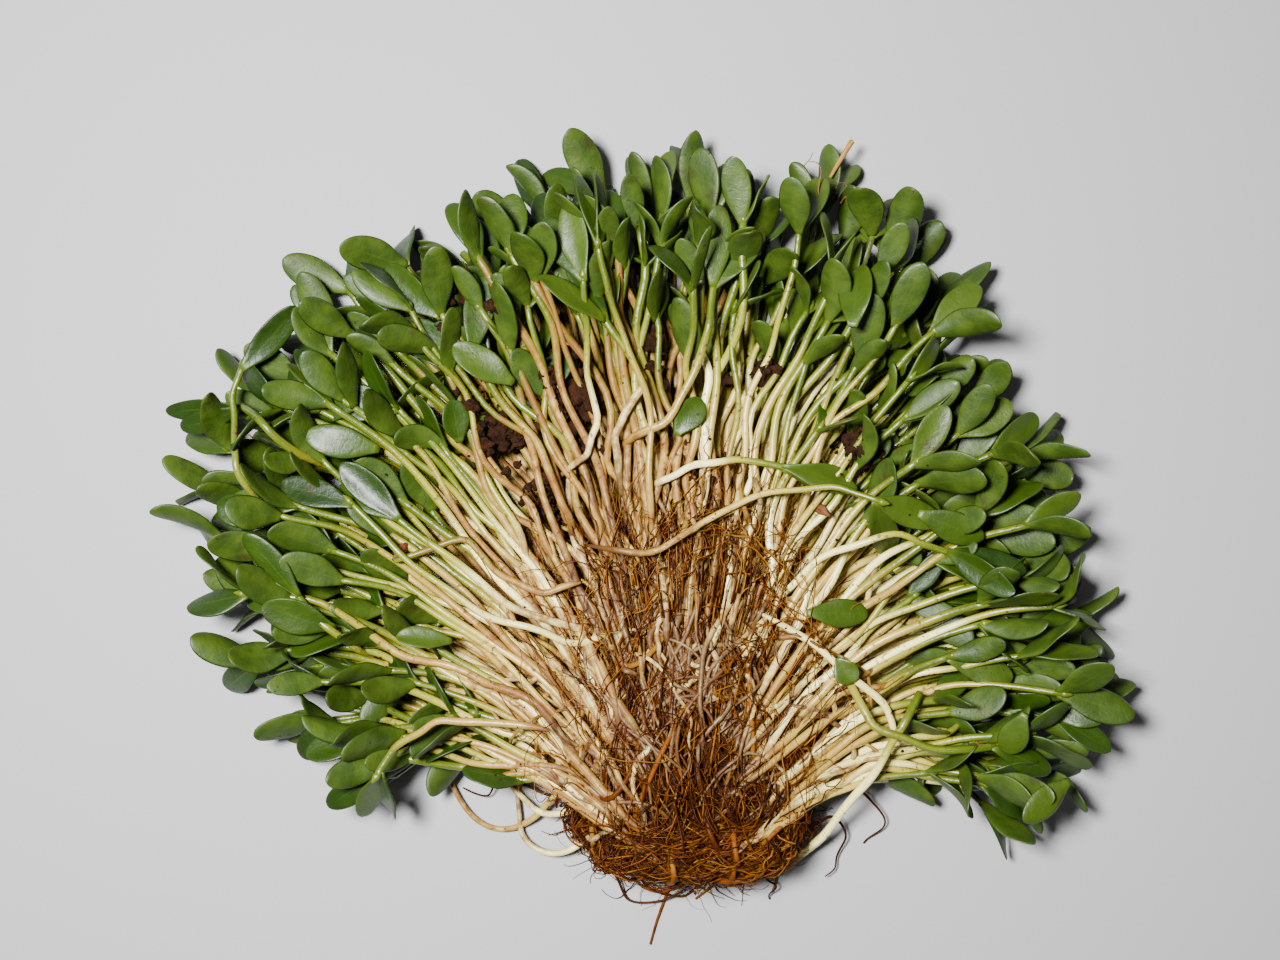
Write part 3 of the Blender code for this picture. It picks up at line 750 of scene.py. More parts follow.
def smooth_path(points, count):
    """A smooth curve through the points, read at count places."""
    places = np.array([tuple(point) for point in points])
    padded = np.vstack([2 * places[0] - places[1], places, 2 * places[-1] - places[-2]])
    at = np.linspace(0, len(places) - 1, count)
    step = np.minimum(at.astype(int), len(places) - 2)
    u = (at - step)[:, None]
    a, b, c, d = (padded[step + k] for k in range(4))
    return 0.5 * (2 * b + (c - a) * u + (2 * a - 5 * b + 4 * c - d) * u**2 + (3 * b - a - 3 * c + d) * u**3)


def skin(rows, sides):
    """Quads between rows of corners, and triangles to the two corners that follow them, foot and tip."""
    faces = []
    for row in range(0, (rows - 1) * sides, sides):
        for k in range(sides):
            after = (k + 1) % sides
            faces.append((row + k, row + after, row + sides + after, row + sides + k))
    foot, last = rows * sides, (rows - 1) * sides
    faces += [(foot, (k + 1) % sides, k) for k in range(sides)]
    faces += [(foot + 1, last + k, last + (k + 1) % sides) for k in range(sides)]
    return faces


def rings(path, radii, sides, lean):
    """Corners of the rings round a path, and the quads between them, with a point at each end."""
    ahead = np.gradient(path, axis=0)
    ahead /= np.linalg.norm(ahead, axis=1, keepdims=True) + 1e-12
    side = np.cross(ahead, lean)
    side /= np.linalg.norm(side, axis=1, keepdims=True) + 1e-12
    over = np.cross(side, ahead)
    turns = np.linspace(0, 2 * np.pi, sides, endpoint=False)
    radii = np.asarray(radii)[:, None, None]
    ring = side[:, None] * np.cos(turns)[:, None] + over[:, None] * np.sin(turns)[:, None]
    corners = (path[:, None] + ring * radii).reshape(-1, 3)
    ends = np.stack([path[0] - ahead[0] * radii[0, 0] * 0.6, path[-1] + ahead[-1] * radii[-1, 0] * 0.6])
    return np.vstack([corners, ends]), skin(len(path), sides)


def add_tube(growth, path, radii, sides, lean=(0.12, 0.21, 0.97), span=(0, 1), **marks):
    """Adds a tube with the first finish, whose tones run over that span of a whole stem or root."""
    corners, faces = rings(path, radii, sides, lean)
    along = np.repeat(np.linspace(*span, len(path)), sides)
    across = np.tile(np.linspace(-1, 1, sides, endpoint=False), len(path))
    along, across = np.append(along, span), np.append(across, (0, 0))
    growth.add(corners, faces, 0, along=along, across=across, **marks)


def fine_width(share):
    """Half a seed leaf's breadth along its length: a narrow foot, then an oval with a round tip."""
    widest, foot = 0.55, 0.24
    oval = np.sqrt(np.clip(1 - ((share - widest) / (1 - widest)) ** 2, 0, 1))
    swell = foot + (1 - foot) * np.sin(np.pi / 2 * np.clip(share / widest, 0, 1)) ** 1.35
    return np.where(share > widest, oval, swell)


def add_blade(growth, leaf, rng, slot, tint, stain, thickness, cup_range=(-0.12, 0.25)):
    """A thick seed leaf with a rounded rim, a shallow trough along its middle and a slight wave."""
    shares = 1 - (1 - np.linspace(0, 1, BLADE_ROWS)) ** 1.25
    shares[-1] = 0.995
    turns = np.linspace(0, 2 * np.pi, BLADE_SIDES, endpoint=False)
    out, up = np.cos(turns), np.sin(turns)
    cup, wave, phase = rng.uniform(*cup_range), rng.uniform(0, 0.45) * MM, rng.uniform(0, A_TURN)
    fold, twist = max(0.0, rng.gauss(0.05, 0.14)), rng.gauss(0, 0.3)
    lean = rng.uniform(-0.07, 0.07)
    rows = []
    for share in shares:
        point, forward, normal = blade_axis(leaf, float(share))
        point, forward, normal = map(np.array, (point, forward, normal))
        side = np.cross(forward, normal)
        turn = twist * share
        cosine, sine = math.cos(turn), math.sin(turn)
        side, normal = side * cosine + normal * sine, normal * cosine - side * sine
        half_width = leaf.width / 2 * fine_width(share)
        half_thick = thickness / 2 * (1.05 - 0.45 * share) * min(1.0, half_width / (0.22 * leaf.width)) ** 0.5
        lift = np.sign(up) * np.abs(up) ** 0.8 * half_thick
        body = np.sin(np.pi * min(1, share * 1.1)) if share < 0.9 else 0.16
        groove = 0.3 * half_thick * np.exp(-((out / 0.22) ** 2)) * (up > 0.3) * body
        bowl = (cup * out**2 + fold * np.abs(out)) * half_width - groove
        ripple = wave * np.sin(9 * share + phase + 1.3 * np.sign(out)) * out**2
        shift = lean * leaf.length * share**2
        row = point + side * (half_width * out + shift)[:, None]
        rows.append(row + normal * (lift + bowl + ripple)[:, None])
    tip = rows[-1].mean(axis=0) + np.array(blade_axis(leaf, 1.0)[1]) * 0.2 * MM
    corners = np.vstack([*rows, np.array(leaf.base), tip])
    faces = [(face[0], *face[:0:-1]) for face in skin(BLADE_ROWS, BLADE_SIDES)]
    along = np.append(np.repeat(shares, BLADE_SIDES), (0, 1))
    across = np.append(np.tile(out, BLADE_ROWS), (0, 0))
    under = np.append(np.tile(up < -0.05, BLADE_ROWS), (0, 0)).astype(float)
    growth.add(corners, faces, slot, along=along, across=across, tint=tint, stain=stain, under=under)


def add_seedling(growth, seedling, rng, sizes, root_share=0.12, stain=0.2, wander=1.0, first=0.0):
    """A whole seedling: its round stem with a thin brown foot, its bud and its seed leaves."""
    tint = min(1.0, rng.random() + max(0.0, -2.2 * seedling.stem[-1].x))
    path = smooth_path(seedling.stem, STEM_RINGS)
    share = np.linspace(0, 1, STEM_RINGS)
    phases = [rng.uniform(0, A_TURN) for _ in range(3)]
    length = np.linalg.norm(np.diff(path, axis=0), axis=1).sum()
    turns = length / (rng.uniform(26, 44) * MM) * 2 * math.pi
    sway = sizes.stem_sway * wander * np.sin(np.pi * share) ** 0.6
    path[:, 0] += sway * np.sin(turns * share + phases[0])
    path[:, 1] += sway * np.sin(0.8 * turns * share + phases[1])
    path[:, 2] += 0.5 * sway * np.sin(1.2 * turns * share + phases[2])
    ahead = path[-1, :2] - path[0, :2]
    aside = np.array((-ahead[1], ahead[0])) / (np.linalg.norm(ahead) + 1e-9)
    bow = rng.gauss(0, 1.5) * wander * sizes.stem_sway * np.sin(np.pi * share * rng.choice((1, 1, 2)))
    path[:, :2] += bow[:, None] * aside
    path[:, 2] = np.maximum(path[:, 2], sizes.stem_radius)
    thick = sizes.stem_radius * rng.uniform(0.78, 1.08)
    foot = np.clip(share / root_share, 0, 1)
    radii = thick * (0.35 + 0.65 * foot**0.8) * (1 - 0.12 * share)
    radii *= 1 + 0.05 * np.sin(17 * share + phases[0])
    add_tube(growth, path, radii, STEM_SIDES, span=(first, 1), tint=tint, stain=stain)
    x, y = seedling.stem[-1].x, seedling.stem[-1].y
    # Leaves are painted lighter towards +X and lighter still round the far right of the fan, a painted sheen
    # for the light they reflect there; each leaf's tint is drawn round it
    painted_sheen = 0.5 + 1.3 * x + 0.8 * math.exp(-(((x - 0.045) / 0.04) ** 2) - ((y - 0.15) / 0.05) ** 2)
    for leaf in seedling.leaves:
        tone_and_painted_sheen = clamp(rng.gauss(painted_sheen, 0.24), 0.0, 1.0)
        add_blade(growth, leaf, rng, 1, tone_and_painted_sheen, rng.random(), sizes.leaf_thickness)
    if seedling.leaves:
        add_bud(growth, seedling, tint)


def add_bud(growth, seedling, tint):
    """The tiny folded bud that sits where the two seed leaves part."""
    base = np.array(seedling.stem[-1])
    forward = np.array((seedling.stem[-1] - seedling.stem[-2]).normalized())
    path = base + np.linspace(-0.6, 2.4, 6)[:, None] * forward * MM
    radii = np.array([0.9, 1.15, 1.1, 0.85, 0.55, 0.2]) * MM
    add_tube(growth, path, radii, 6, span=(1, 1), tint=tint, stain=0.0)


# Finishes


class Number:
    """A number that changes over a surface, so that shader maths reads as an expression."""

    def __init__(self, finish, socket):
        self.finish, self.socket = finish, socket

    def _math(self, operation, *values, clamp=False):
        settings = {"operation": operation, "use_clamp": clamp}
        made = self.finish.node("ShaderNodeMath", settings, dict(enumerate(values)))
        return Number(self.finish, made.outputs[0])

    def __add__(self, other):
        return self._math("ADD", self, other)

    def __sub__(self, other):
        return self._math("SUBTRACT", self, other)

    def __rsub__(self, other):
        return self._math("SUBTRACT", other, self)

    def __mul__(self, other):
        return self._math("MULTIPLY", self, other)

    def __truediv__(self, other):
        return self._math("DIVIDE", self, other)

    __radd__, __rmul__ = __add__, __mul__

    def size(self):
        return self._math("ABSOLUTE", self)

    def clamped(self):
        return self._math("ADD", self, 0.0, clamp=True)

    def between(self, low, high):
        """0 below low, 1 above high, and a smooth step between; low may be above high."""
        made = self.finish.node(
            "ShaderNodeMapRange",
            {"interpolation_type": "SMOOTHSTEP"},
            {"Value": self, "From Min": low, "From Max": high},
        )
        return Number(self.finish, made.outputs["Result"])


class Finish:
    """One procedural material under construction."""

    def __init__(self, name, roughness, **constants):
        self.material = bpy.data.materials.new(name)
        self.material.use_nodes = True
        self.tree = self.material.node_tree
        self.shader = self.tree.nodes["Principled BSDF"]
        self.shader.inputs["Roughness"].default_value = roughness
        for label, value in constants.items():
            self.shader.inputs[label.replace("_", " ")].default_value = value

    def node(self, kind, settings=None, inputs=None):
        made = self.tree.nodes.new(kind)
        for label, value in (settings or {}).items():
            if label == "stops":
                ramp = made.color_ramp
                while len(ramp.elements) < len(value):
                    ramp.elements.new(0.5)
                for element, (position, colour) in zip(ramp.elements, value):
                    element.position, element.color = position, (*colour, 1)
            else:
                setattr(made, label, value)
        for label, value in (inputs or {}).items():
            self.feed(made.inputs[label], value)
        return made

    def feed(self, socket, value):
        value = getattr(value, "socket", value)
        if isinstance(value, bpy.types.NodeSocket):
            self.tree.links.new(value, socket)
        elif isinstance(value, tuple) and len(socket.default_value) == 4:
            socket.default_value = (*value[:3], 1)
        else:
            socket.default_value = value

    def mark(self, name):
        return Number(self, self.node("ShaderNodeAttribute", {"attribute_name": name}).outputs["Fac"])

    def place(self):
        return self.node("ShaderNodeTexCoord").outputs["Object"]

    def noise(self, scale, detail=3.0, roughness=0.55, vector=None):
        inputs = {"Scale": scale, "Detail": detail, "Roughness": roughness, "Vector": vector or self.place()}
        return Number(self, self.node("ShaderNodeTexNoise", {}, inputs).outputs["Fac"])

    def cells(self, scale):
        inputs = {"Scale": scale, "Vector": self.place()}
        made = self.node("ShaderNodeTexVoronoi", {"feature": "DISTANCE_TO_EDGE"}, inputs)
        return Number(self, made.outputs["Distance"])

    def vector(self, x, y, z):
        return self.node("ShaderNodeCombineXYZ", {}, {"X": x, "Y": y, "Z": z}).outputs[0]

    def ramp(self, value, *stops):
        return self.node("ShaderNodeValToRGB", {"stops": stops}, {"Fac": value}).outputs["Color"]

    def mix(self, factor, first, second):
        settings = {"data_type": "RGBA", "clamp_factor": True}
        return self.node("ShaderNodeMix", settings, {0: factor, 6: first, 7: second}).outputs[2]

    def done(self, colour, roughness, bumps, coat=None):
        """The material, with that colour, roughness and coat, and the bumps one upon the other."""
        values = {"Base Color": colour, "Roughness": roughness, "Coat Weight": coat}
        normal = {}
        for height, strength, distance in bumps:
            inputs = {"Height": height, "Strength": strength, "Distance": distance}
            normal = {"Normal": self.node("ShaderNodeBump", {}, inputs | normal).outputs["Normal"]}
        for label, value in (values | normal).items():
            if value is not None:
                self.feed(self.shader.inputs[label], value)
        return self.material


def leaf_finish(colours):
    """A thick, smooth seed leaf: mottled green above, paler below, with dirt specks and a dark rim."""
    f = Finish("seed_leaf", 0.4, Specular_IOR_Level=0.32, Coat_Weight=0.05, Coat_Roughness=0.22)
    along, across, tint = f.mark("along"), f.mark("across"), f.mark("tint")
    # The tint lightens the upper face: on a leaf it holds the leaf's own tone and a painted sheen set by its
    # place
    mottle = f.noise(140, 2.0) * 0.5 + tint * 0.75 - 0.12
    upper = f.ramp(mottle, (0.1, colours.leaf_dark), (0.5, colours.leaf_upper), (0.95, colours.leaf_light))
    under = f.mix(f.noise(160, 2.0).between(0.3, 0.75), colours.leaf_under, colours.leaf_light)
    colour = f.mix(f.mark("under"), upper, under)
    midline = (1 - (across.size() / 0.085).clamped()) * along.between(1.0, 0.55)
    colour = f.mix(midline * 0.4, colour, colours.leaf_light)
    foot = along.between(0.2, 0.0)
    colour = f.mix(foot * 0.7, colour, colours.stem_green)
    rim = across.size().between(0.93, 1.0) * along.between(0.25, 0.6)
    colour = f.mix(rim * f.noise(300, 2.0).between(0.35, 0.7) * 0.6, colour, colours.leaf_rim)
    bruise = f.noise(130, 4.0).between(0.56, 0.72) * f.mark("stain").between(0.35, 0.9)
    colour = f.mix(bruise * 0.6, colour, colours.leaf_rim)
    specks = f.noise(900, 3.0).between(0.63, 0.69) * f.noise(120, 2.0).between(0.42, 0.6)
    specks = specks * f.mark("stain").between(0.1, 0.8)
    colour = f.mix(specks * 0.85, colour, colours.soil)
    grain = f.noise(2600, 2.0)
    veins = f.cells(520).between(0.0, 0.12)
    roughness = 0.34 + f.noise(400, 3.0) * 0.2 + f.mark("under") * 0.08 + specks * 0.3
    quilt = f.noise(330, 2.0)
    bumps = (
        (quilt, 0.35, 0.7 * MM),
        (veins, 0.12, 0.2 * MM),
        (grain, 0.3, 0.12 * MM),
        (specks, 0.5, 0.2 * MM),
    )
    return f.done(colour, roughness, bumps)


def stem_finish(colours):
    """A juicy stem: brown at its foot, then cream, then green under the leaves, with soil specks."""
    f = Finish("stem", 0.3, Specular_IOR_Level=0.38, Coat_Roughness=0.24)
    along, across, tint, stain = (f.mark(name) for name in ("along", "across", "tint", "stain"))
    green = along.between(0.45, 1.02) + tint * 0.22 - 0.12
    pale = f.mix(tint.between(0.1, 0.6), colours.stem_white, colours.stem_cream)
    colour = f.mix(green.between(0.1, 0.5), pale, colours.stem_yellow)
    colour = f.mix(green.between(0.45, 0.9), colour, colours.stem_green)
    streaks = f.noise(3.0, 4.0, 0.6, f.vector(across * 1.4, along * 2.2, tint * 37.0))
    colour = f.mix(streaks.between(0.45, 0.75) * 0.45, colour, colours.stem_yellow)
    patches = f.noise(90, 3.0)
    browned = (along - stain - (patches - 0.5) * 0.8).between(0.14, -0.12)
    browned = browned * (f.noise(330, 3.0).between(0.34, 0.6) * 0.5 + 0.5)
    tan = f.mix(streaks.between(0.35, 0.65), colours.root_tan, colours.root_orange)
    colour = f.mix(tint.between(0.5, 1.0) * (1 - green) * 0.55, colour, tan)
    colour = f.mix(browned * 0.9, colour, tan)
    foot = (along - stain * 0.42).between(0.1, -0.1)
    colour = f.mix(foot * 0.8, colour, colours.root_brown)
    specks = f.noise(750, 3.0).between(0.6, 0.66) * f.noise(110, 2.0).between(0.38, 0.56)
    colour = f.mix(specks * 0.8, colour, colours.root_brown)
    roughness = 0.26 + streaks * 0.14 + browned * 0.3 + specks * 0.3
    ridges = f.noise(4.0, 2.0, 0.5, f.vector(across * 3.0, along * 1.2, tint * 21.0))
    knobs = f.noise(520, 3.0)
    bumps = ((knobs, 0.5, 0.5 * MM), (ridges, 0.2, 0.4 * MM), (specks, 0.5, 0.2 * MM))
    return f.done(colour, roughness, bumps, coat=0.26 - browned * 0.22)


def root_finish(colours):
    """Roots from dark brown to straw, each with its own tone and a dusting of soil."""
    f = Finish("root_fibre", 0.6, Specular_IOR_Level=0.08)
    tint = f.mark("tint")
    tone = tint + (f.noise(260, 3.0) - 0.5) * 0.3
    colour = f.ramp(
        tone,
        (0.0, colours.root_dark),
        (0.35, colours.root_brown),
        (0.65, colours.root_orange),
        (1.0, colours.root_tan),
    )
    dust = f.noise(700, 3.0).between(0.52, 0.68)
    colour = f.mix(dust * 0.4, colour, colours.soil)
    return f.done(colour, 0.48 + dust * 0.3, ((f.noise(1800, 2.0), 0.4, 0.2 * MM),))


def cushion_finish(colours):
    """The matted body between the roots: dark soil and roots, with painted shade that makes it nearly black
    in its hollows.
    """
    f = Finish("root_cushion", 0.8, Specular_IOR_Level=0.1)
    fibre = f.noise(500, 5.0, 0.7)
    threads = f.cells(420).between(0.0, 0.18)
    # The tone that raises the bumps also lightens the colour, so the low places are painted darker: painted
    # shade in the hollows
    tone = fibre * 0.7 + threads * 0.35
    colour = f.ramp(tone, (0.2, colours.soil), (0.55, colours.root_dark), (0.95, colours.root_brown))
    return f.done(colour, 0.75 + fibre * 0.15, ((tone, 0.9, 1.2 * MM),))


def soil_finish(colours):
    """Damp, reddish-brown soil, rough at every size."""
    f = Finish("damp_soil", 0.85, Specular_IOR_Level=0.12)
    tone = f.noise(450, 5.0, 0.65)
    colour = f.ramp(tone, (0.35, colours.soil), (0.75, colours.soil_light))
    return f.done(colour, 0.3 + tone * 0.6, ((f.noise(900, 6.0, 0.75), 1.0, 1.5 * MM),))


def husk_finish(colours):
    """Dry seed husk and withered skin, streaked along its length."""
    f = Finish("husk", 0.6, Specular_IOR_Level=0.35)
    across, along, tint = f.mark("across"), f.mark("along"), f.mark("tint")
    streaks = f.noise(3.0, 4.0, 0.6, f.vector(across * 4.0, along * 0.8, tint * 31.0))
    tone = streaks + (tint - 0.5) * 0.4
    colour = f.ramp(
        tone,
        (0.3, colours.root_brown),
        (0.55, colours.husk),
        (0.7, colours.root_tan),
        (0.85, colours.stem_cream),
    )
    return f.done(colour, 0.5 + streaks * 0.2, ((streaks, 0.4, 0.3 * MM),))


def paper_finish(colours):
    """The plain pale surface that the clump lies on."""
    f = Finish("pale_surface", 0.7, Specular_IOR_Level=0.2)
    colour = f.mix(f.noise(4, 3.0).between(0.3, 0.8), colours.floor, tuple(c * 0.97 for c in colours.floor))
    return f.done(colour, None, ((f.noise(900, 2.0), 0.04, 0.1 * MM),))


MAKERS = {
    "seed_leaf": leaf_finish,
    "stem": stem_finish,
    "root_fibre": root_finish,
    "root_cushion": cushion_finish,
    "damp_soil": soil_finish,
    "husk": husk_finish,
    "pale_surface": paper_finish,
}


def finish(name):
    """The finish of that name, made when it is first asked for."""
    settings = bpy.context.scene.seedling_colours
    colours = {label: tuple(getattr(settings, label)) for label in SEEDLINGS_PG_colours.__annotations__}
    return bpy.data.materials.get(name) or MAKERS[name](SimpleNamespace(**colours))


def plant_finishes():
    """The finishes of a stem and of its leaves, in the order of their slots."""
    return finish("stem"), finish("seed_leaf")


# Settings


def colour_property(name, description, value):
    return FloatVectorProperty(
        name=name, description=description, default=value, subtype="COLOR", size=3, min=0.0, max=1.0
    )


def length_property(name, description, value):
    return FloatProperty(name=name, description=description, default=value, min=0.0, unit="LENGTH")


def count_property(name, description, value):
    return IntProperty(name=name, description=description, default=value, min=0)


class SEEDLINGS_PG_colours(PropertyGroup):
    """Colours of the plants, the roots, the soil and the surface."""

    leaf_dark: colour_property("Dark Leaf", "Darkest green of a seed leaf", (0.0048, 0.0165, 0.0001))
    leaf_upper: colour_property("Leaf", "Usual green of a seed leaf's upper face", (0.0125, 0.032, 0.0003))
    leaf_light: colour_property("Light Leaf", "Lightest green of a seed leaf", (0.038, 0.065, 0.004))
    leaf_under: colour_property("Leaf Underside", "Pale green of its underside", (0.0165, 0.036, 0.0014))
    leaf_rim: colour_property("Leaf Rim", "Brownish tone of rims and bruises", (0.02, 0.012, 0.001))
    stem_white: colour_property("White Stem", "Lightest tone of a pale stem", (0.93, 0.83, 0.34))
    stem_cream: colour_property("Pale Stem", "Cream of a stem grown in the dark", (0.47, 0.34, 0.07))
    stem_yellow: colour_property("Yellow Stem", "Yellow-green of the middle of a stem", (0.25, 0.24, 0.02))
    stem_green: colour_property("Green Stem", "Green of a stem below its leaves", (0.052, 0.082, 0.0028))
    root_dark: colour_property("Dark Root", "Darkest brown of the roots", (0.0115, 0.002, 0.0001))
    root_brown: colour_property("Brown Root", "Usual brown of the roots", (0.043, 0.0092, 0.0002))
    root_orange: colour_property("Orange Root", "Orange-brown of younger roots", (0.114, 0.0295, 0.0011))
    root_tan: colour_property("Straw Root", "Straw tone of the freshest roots", (0.215, 0.092, 0.0085))
    soil: colour_property("Soil", "Dark reddish-brown of damp soil", (0.008, 0.0026, 0.0006))
    soil_light: colour_property("Light Soil", "Lighter brown of drier soil", (0.056, 0.0185, 0.005))
    husk: colour_property("Husk", "Brown of dry husks", (0.18, 0.06, 0.01))
    floor: colour_property("Surface", "Pale surface under the clump", (0.32, 0.32, 0.322))


class SEEDLINGS_PG_sizes(PropertyGroup):
    """Sizes and numbers of the fine forms."""

    stem_radius: length_property("Stem Radius", "Radius of a stem at its thickest", 1.2 * MM)
    stem_sway: length_property("Stem Sway", "How far a stem wanders sideways", 0.6 * MM)
    leaf_thickness: length_property("Leaf Thickness", "Thickness of a seed leaf", 1.3 * MM)
    fill_bare: count_property("Inner Stems", "Bare stems deep in the heap", 240)
    fill_under: count_property("Inner Seedlings", "Extra seedlings inside the heap", 130)
    fill_over: count_property("Outer Seedlings", "Extra seedlings over the mat's top", 110)
    stem_feet: count_property("Stem Feet", "Brown stem feet that cross the mat's edge", 210)
    fibres: count_property("Root Fibres", "Fine roots over the mat", 2400)
    threads: count_property("Root Threads", "Fine roots between the stems", 900)
    crumbs: count_property("Soil Crumbs", "Crumbs of soil on the heap", 760)


class SEEDLINGS_PG_stage(PropertyGroup):
    """The camera and the light."""

    camera_height: length_property("Camera Height", "Height of the camera over the surface", 0.45)
    view_width: length_property("View Width", "Width of the picture at the heap's middle", 0.352)
    light_size: length_property("Light Size", "Side of the main light's square", 0.1)
    key_power: FloatProperty(
        name="Key Light", description="Power of the main light", default=14.5, min=0.0, unit="POWER"
    )
    sky: FloatProperty(
        name="Soft Light", description="Strength of the light from all round", default=0.11, min=0.0
    )


# Pieces


@cache
def layout():
    """The clump's layout, worked out once."""
    return Layout()


def inside_solids_box(form):
    """Whether the form stays inside the box round the part's solids."""
    low, high = CAD_BOX
    return all(form[1][k] > low[k] and form[2][k] < high[k] for k in range(3))


def brown_middle(across):
    """1 a little left of the fan's axis, where the stems are brown and tangled, and 0 at its ends."""
    return math.exp(-(((across - 0.6) / 0.17) ** 2))


def stain_of(rng, across):
    """How far up a stem its brown foot reaches."""
    left = 0.24 if across > 0.5 else 0.0
    return rng.uniform(0.08, 0.24) + left + brown_middle(across) * rng.uniform(0.2, 0.7)


def wander_of(rng, across, most):
    """How strongly a stem winds, as a share of the usual sway."""
    return rng.uniform(0.6, 1.3) + brown_middle(across) * rng.uniform(0, most)


class SEEDLINGS_OT_bunches(Operator):
    """Grow the fine seedlings of every bunch in place of the coarse ones"""

    bl_idname = "seedlings.bunches"
    bl_label = "Grow Bunches"

    def execute(self, context):
        sizes = context.scene.seedling_sizes
        rng = random.Random(SEED + BUNCHES)
        for bunch in layout().bunches:
            growth = Growth()
            across = sum(bunch.across) / 2
            for seedling in layout().grown[bunch.name]:
                stain, wander = stain_of(rng, across), wander_of(rng, across, 3.0)
                add_seedling(growth, seedling, rng, sizes, stain=stain, wander=wander)
            name = bunch.name.replace("bunch", "seedlings")
            growth.to_piece(name, plant_finishes(), "seedling", bunch.name)
        return {"FINISHED"}


class SEEDLINGS_OT_fill(Operator):
    """Grow the extra seedlings between the bunches, inside the heap and over the mat"""

    bl_idname = "seedlings.fill"
    bl_label = "Grow Fill"

    def execute(self, context):
        sizes = context.scene.seedling_sizes
        rng = random.Random(SEED + FILL)
        self.leaves = Heap()
        for seedlings in list(layout().grown.values()) + [list(layout().strays.values())]:
            for seedling in seedlings:
                if seedling.leaves:
                    self.leaves.lay("", leaf_form(seedling))
        self.bare_stems(rng, sizes)
        for name, count, over in (("under", sizes.fill_under, False), ("over", sizes.fill_over, True)):
            growth = Growth()
            for _ in range(count):
                seedling, across = self.find_room(rng, over)
                if not seedling:
                    continue
                stain, wander = stain_of(rng, across), wander_of(rng, across, 5.0)
                root_share, stain = (0.3, max(0.34, stain)) if over else (0.12, stain)
                add_seedling(growth, seedling, rng, sizes, root_share, stain, wander)
                layout().heap.lay(name, sleeve(seedling, 0.0))
            growth.to_piece(f"seedlings_{name}", plant_finishes(), "seedling")
        return {"FINISHED"}

    def bare_stems(self, rng, sizes):
        """Stems deep in the heap, whose leaves are hidden under the others."""
        growth = Growth()
        for _ in range(sizes.fill_bare):
            across = rng.uniform(0.01, 0.99)
            seedling = self.draw_single(rng, across, 1, (0.0, rng.uniform(0.2, 0.6)))
            seedling.leaves = []
            for point, sunk in zip(seedling.stem, (0, 0, 0, 0, 3, 9)):
                point.z = max(point.z - sunk * MM, 1.6 * MM)
            stain, wander = stain_of(rng, across) + 0.1, wander_of(rng, across, 3.0)
            add_seedling(growth, seedling, rng, sizes, 0.12, stain, wander)
        growth.to_piece("stems_inside", plant_finishes(), "seedling")

    @staticmethod
    def draw_single(rng, across, layer, up):
        """A seedling in a narrow band of the fan, between those two levels of the heap."""
        band = (max(0, across - 0.03), min(1, across + 0.03))
        return draw_seedling(rng, Bunch("fill", layer, band, up, 1), rng.uniform(-1, 1), 1)

    def find_room(self, rng, over):
        """A seedling whose leaves cross no others, or nothing if there is no room."""
        for _ in range(ROOM_TRIES):
            across = rng.uniform(0.015, 0.985)
            layer, up = (2, (0.65, 1.02)) if over else (1, (0.02, 0.75))
            seedling = self.draw_single(rng, across, layer, up)
            self.shorten(rng, seedling, across)
            settle(seedling, False)
            form = leaf_form(seedling)
            if inside_solids_box(form) and self.leaves.is_clear("fill", form):
                self.leaves.lay("", form)
                if over:
                    self.start_on_mat(rng, seedling, across)
                return seedling, across
        return None, 0.0

    @staticmethod
    def shorten(rng, seedling, across):
        """Ends the stem earlier, so that leaves lie deeper in the fan, and sizes the leaves."""
        keep = 1 - min(0.42, abs(rng.gauss(0, 0.2 - 0.13 * brown_middle(across))))
        path = smooth_path(seedling.stem, 60)
        last = max(12, int(59 * keep))
        picks = np.linspace(0, last, STEM_STEPS + 1).astype(int)
        shift = Vector(path[last]) - seedling.stem[-1]
        seedling.stem = [Vector(path[k]) for k in picks]
        for leaf in seedling.leaves:
            leaf.base += shift
            leaf.normal = Matrix.Rotation(rng.gauss(0, 0.6), 3, leaf.forward) @ leaf.normal
            size = rng.uniform(0.72, 1.08)
            leaf.length *= size
            leaf.width *= size

    def start_on_mat(self, rng, seedling, across):
        """Draws the stem's foot back over the top of the mat, where it becomes a root."""
        foot, direction = mat_point(across), start_direction(across)
        reach = rng.uniform(5, 26) * MM
        back = []
        drift = Vector((*scatter(rng, 2, 1), 0)) * MM
        for k in range(3):
            point = foot - direction * reach * (1 - k / 3) + drift * (1 - k / 3)
            point.z = layout().mat_top(point.x, point.y) + (-0.6 + 0.9 * k) * MM
            back.append(point)
        for point in seedling.stem[1:3]:
            point.z = max(point.z, layout().mat_top(point.x, point.y) + 1 * MM)
        seedling.stem = back + seedling.stem[1:]


def seen_top(place):
    """Height of the highest thing made so far at a place or close beside it, as seen from above."""
    scene, depsgraph = bpy.context.scene, bpy.context.evaluated_depsgraph_get()
    heights = [0.0]
    for dx, dy in ((0, 0), (2, 0), (-2, 0), (0, 2), (0, -2)):
        start = Vector((place.x + dx * MM, place.y + dy * MM, 2 * CAD_BOX[1].z))
        hit, point, *_ = scene.ray_cast(depsgraph, start, DOWN)
        if hit:
            heights.append(point.z)
    return max(heights)


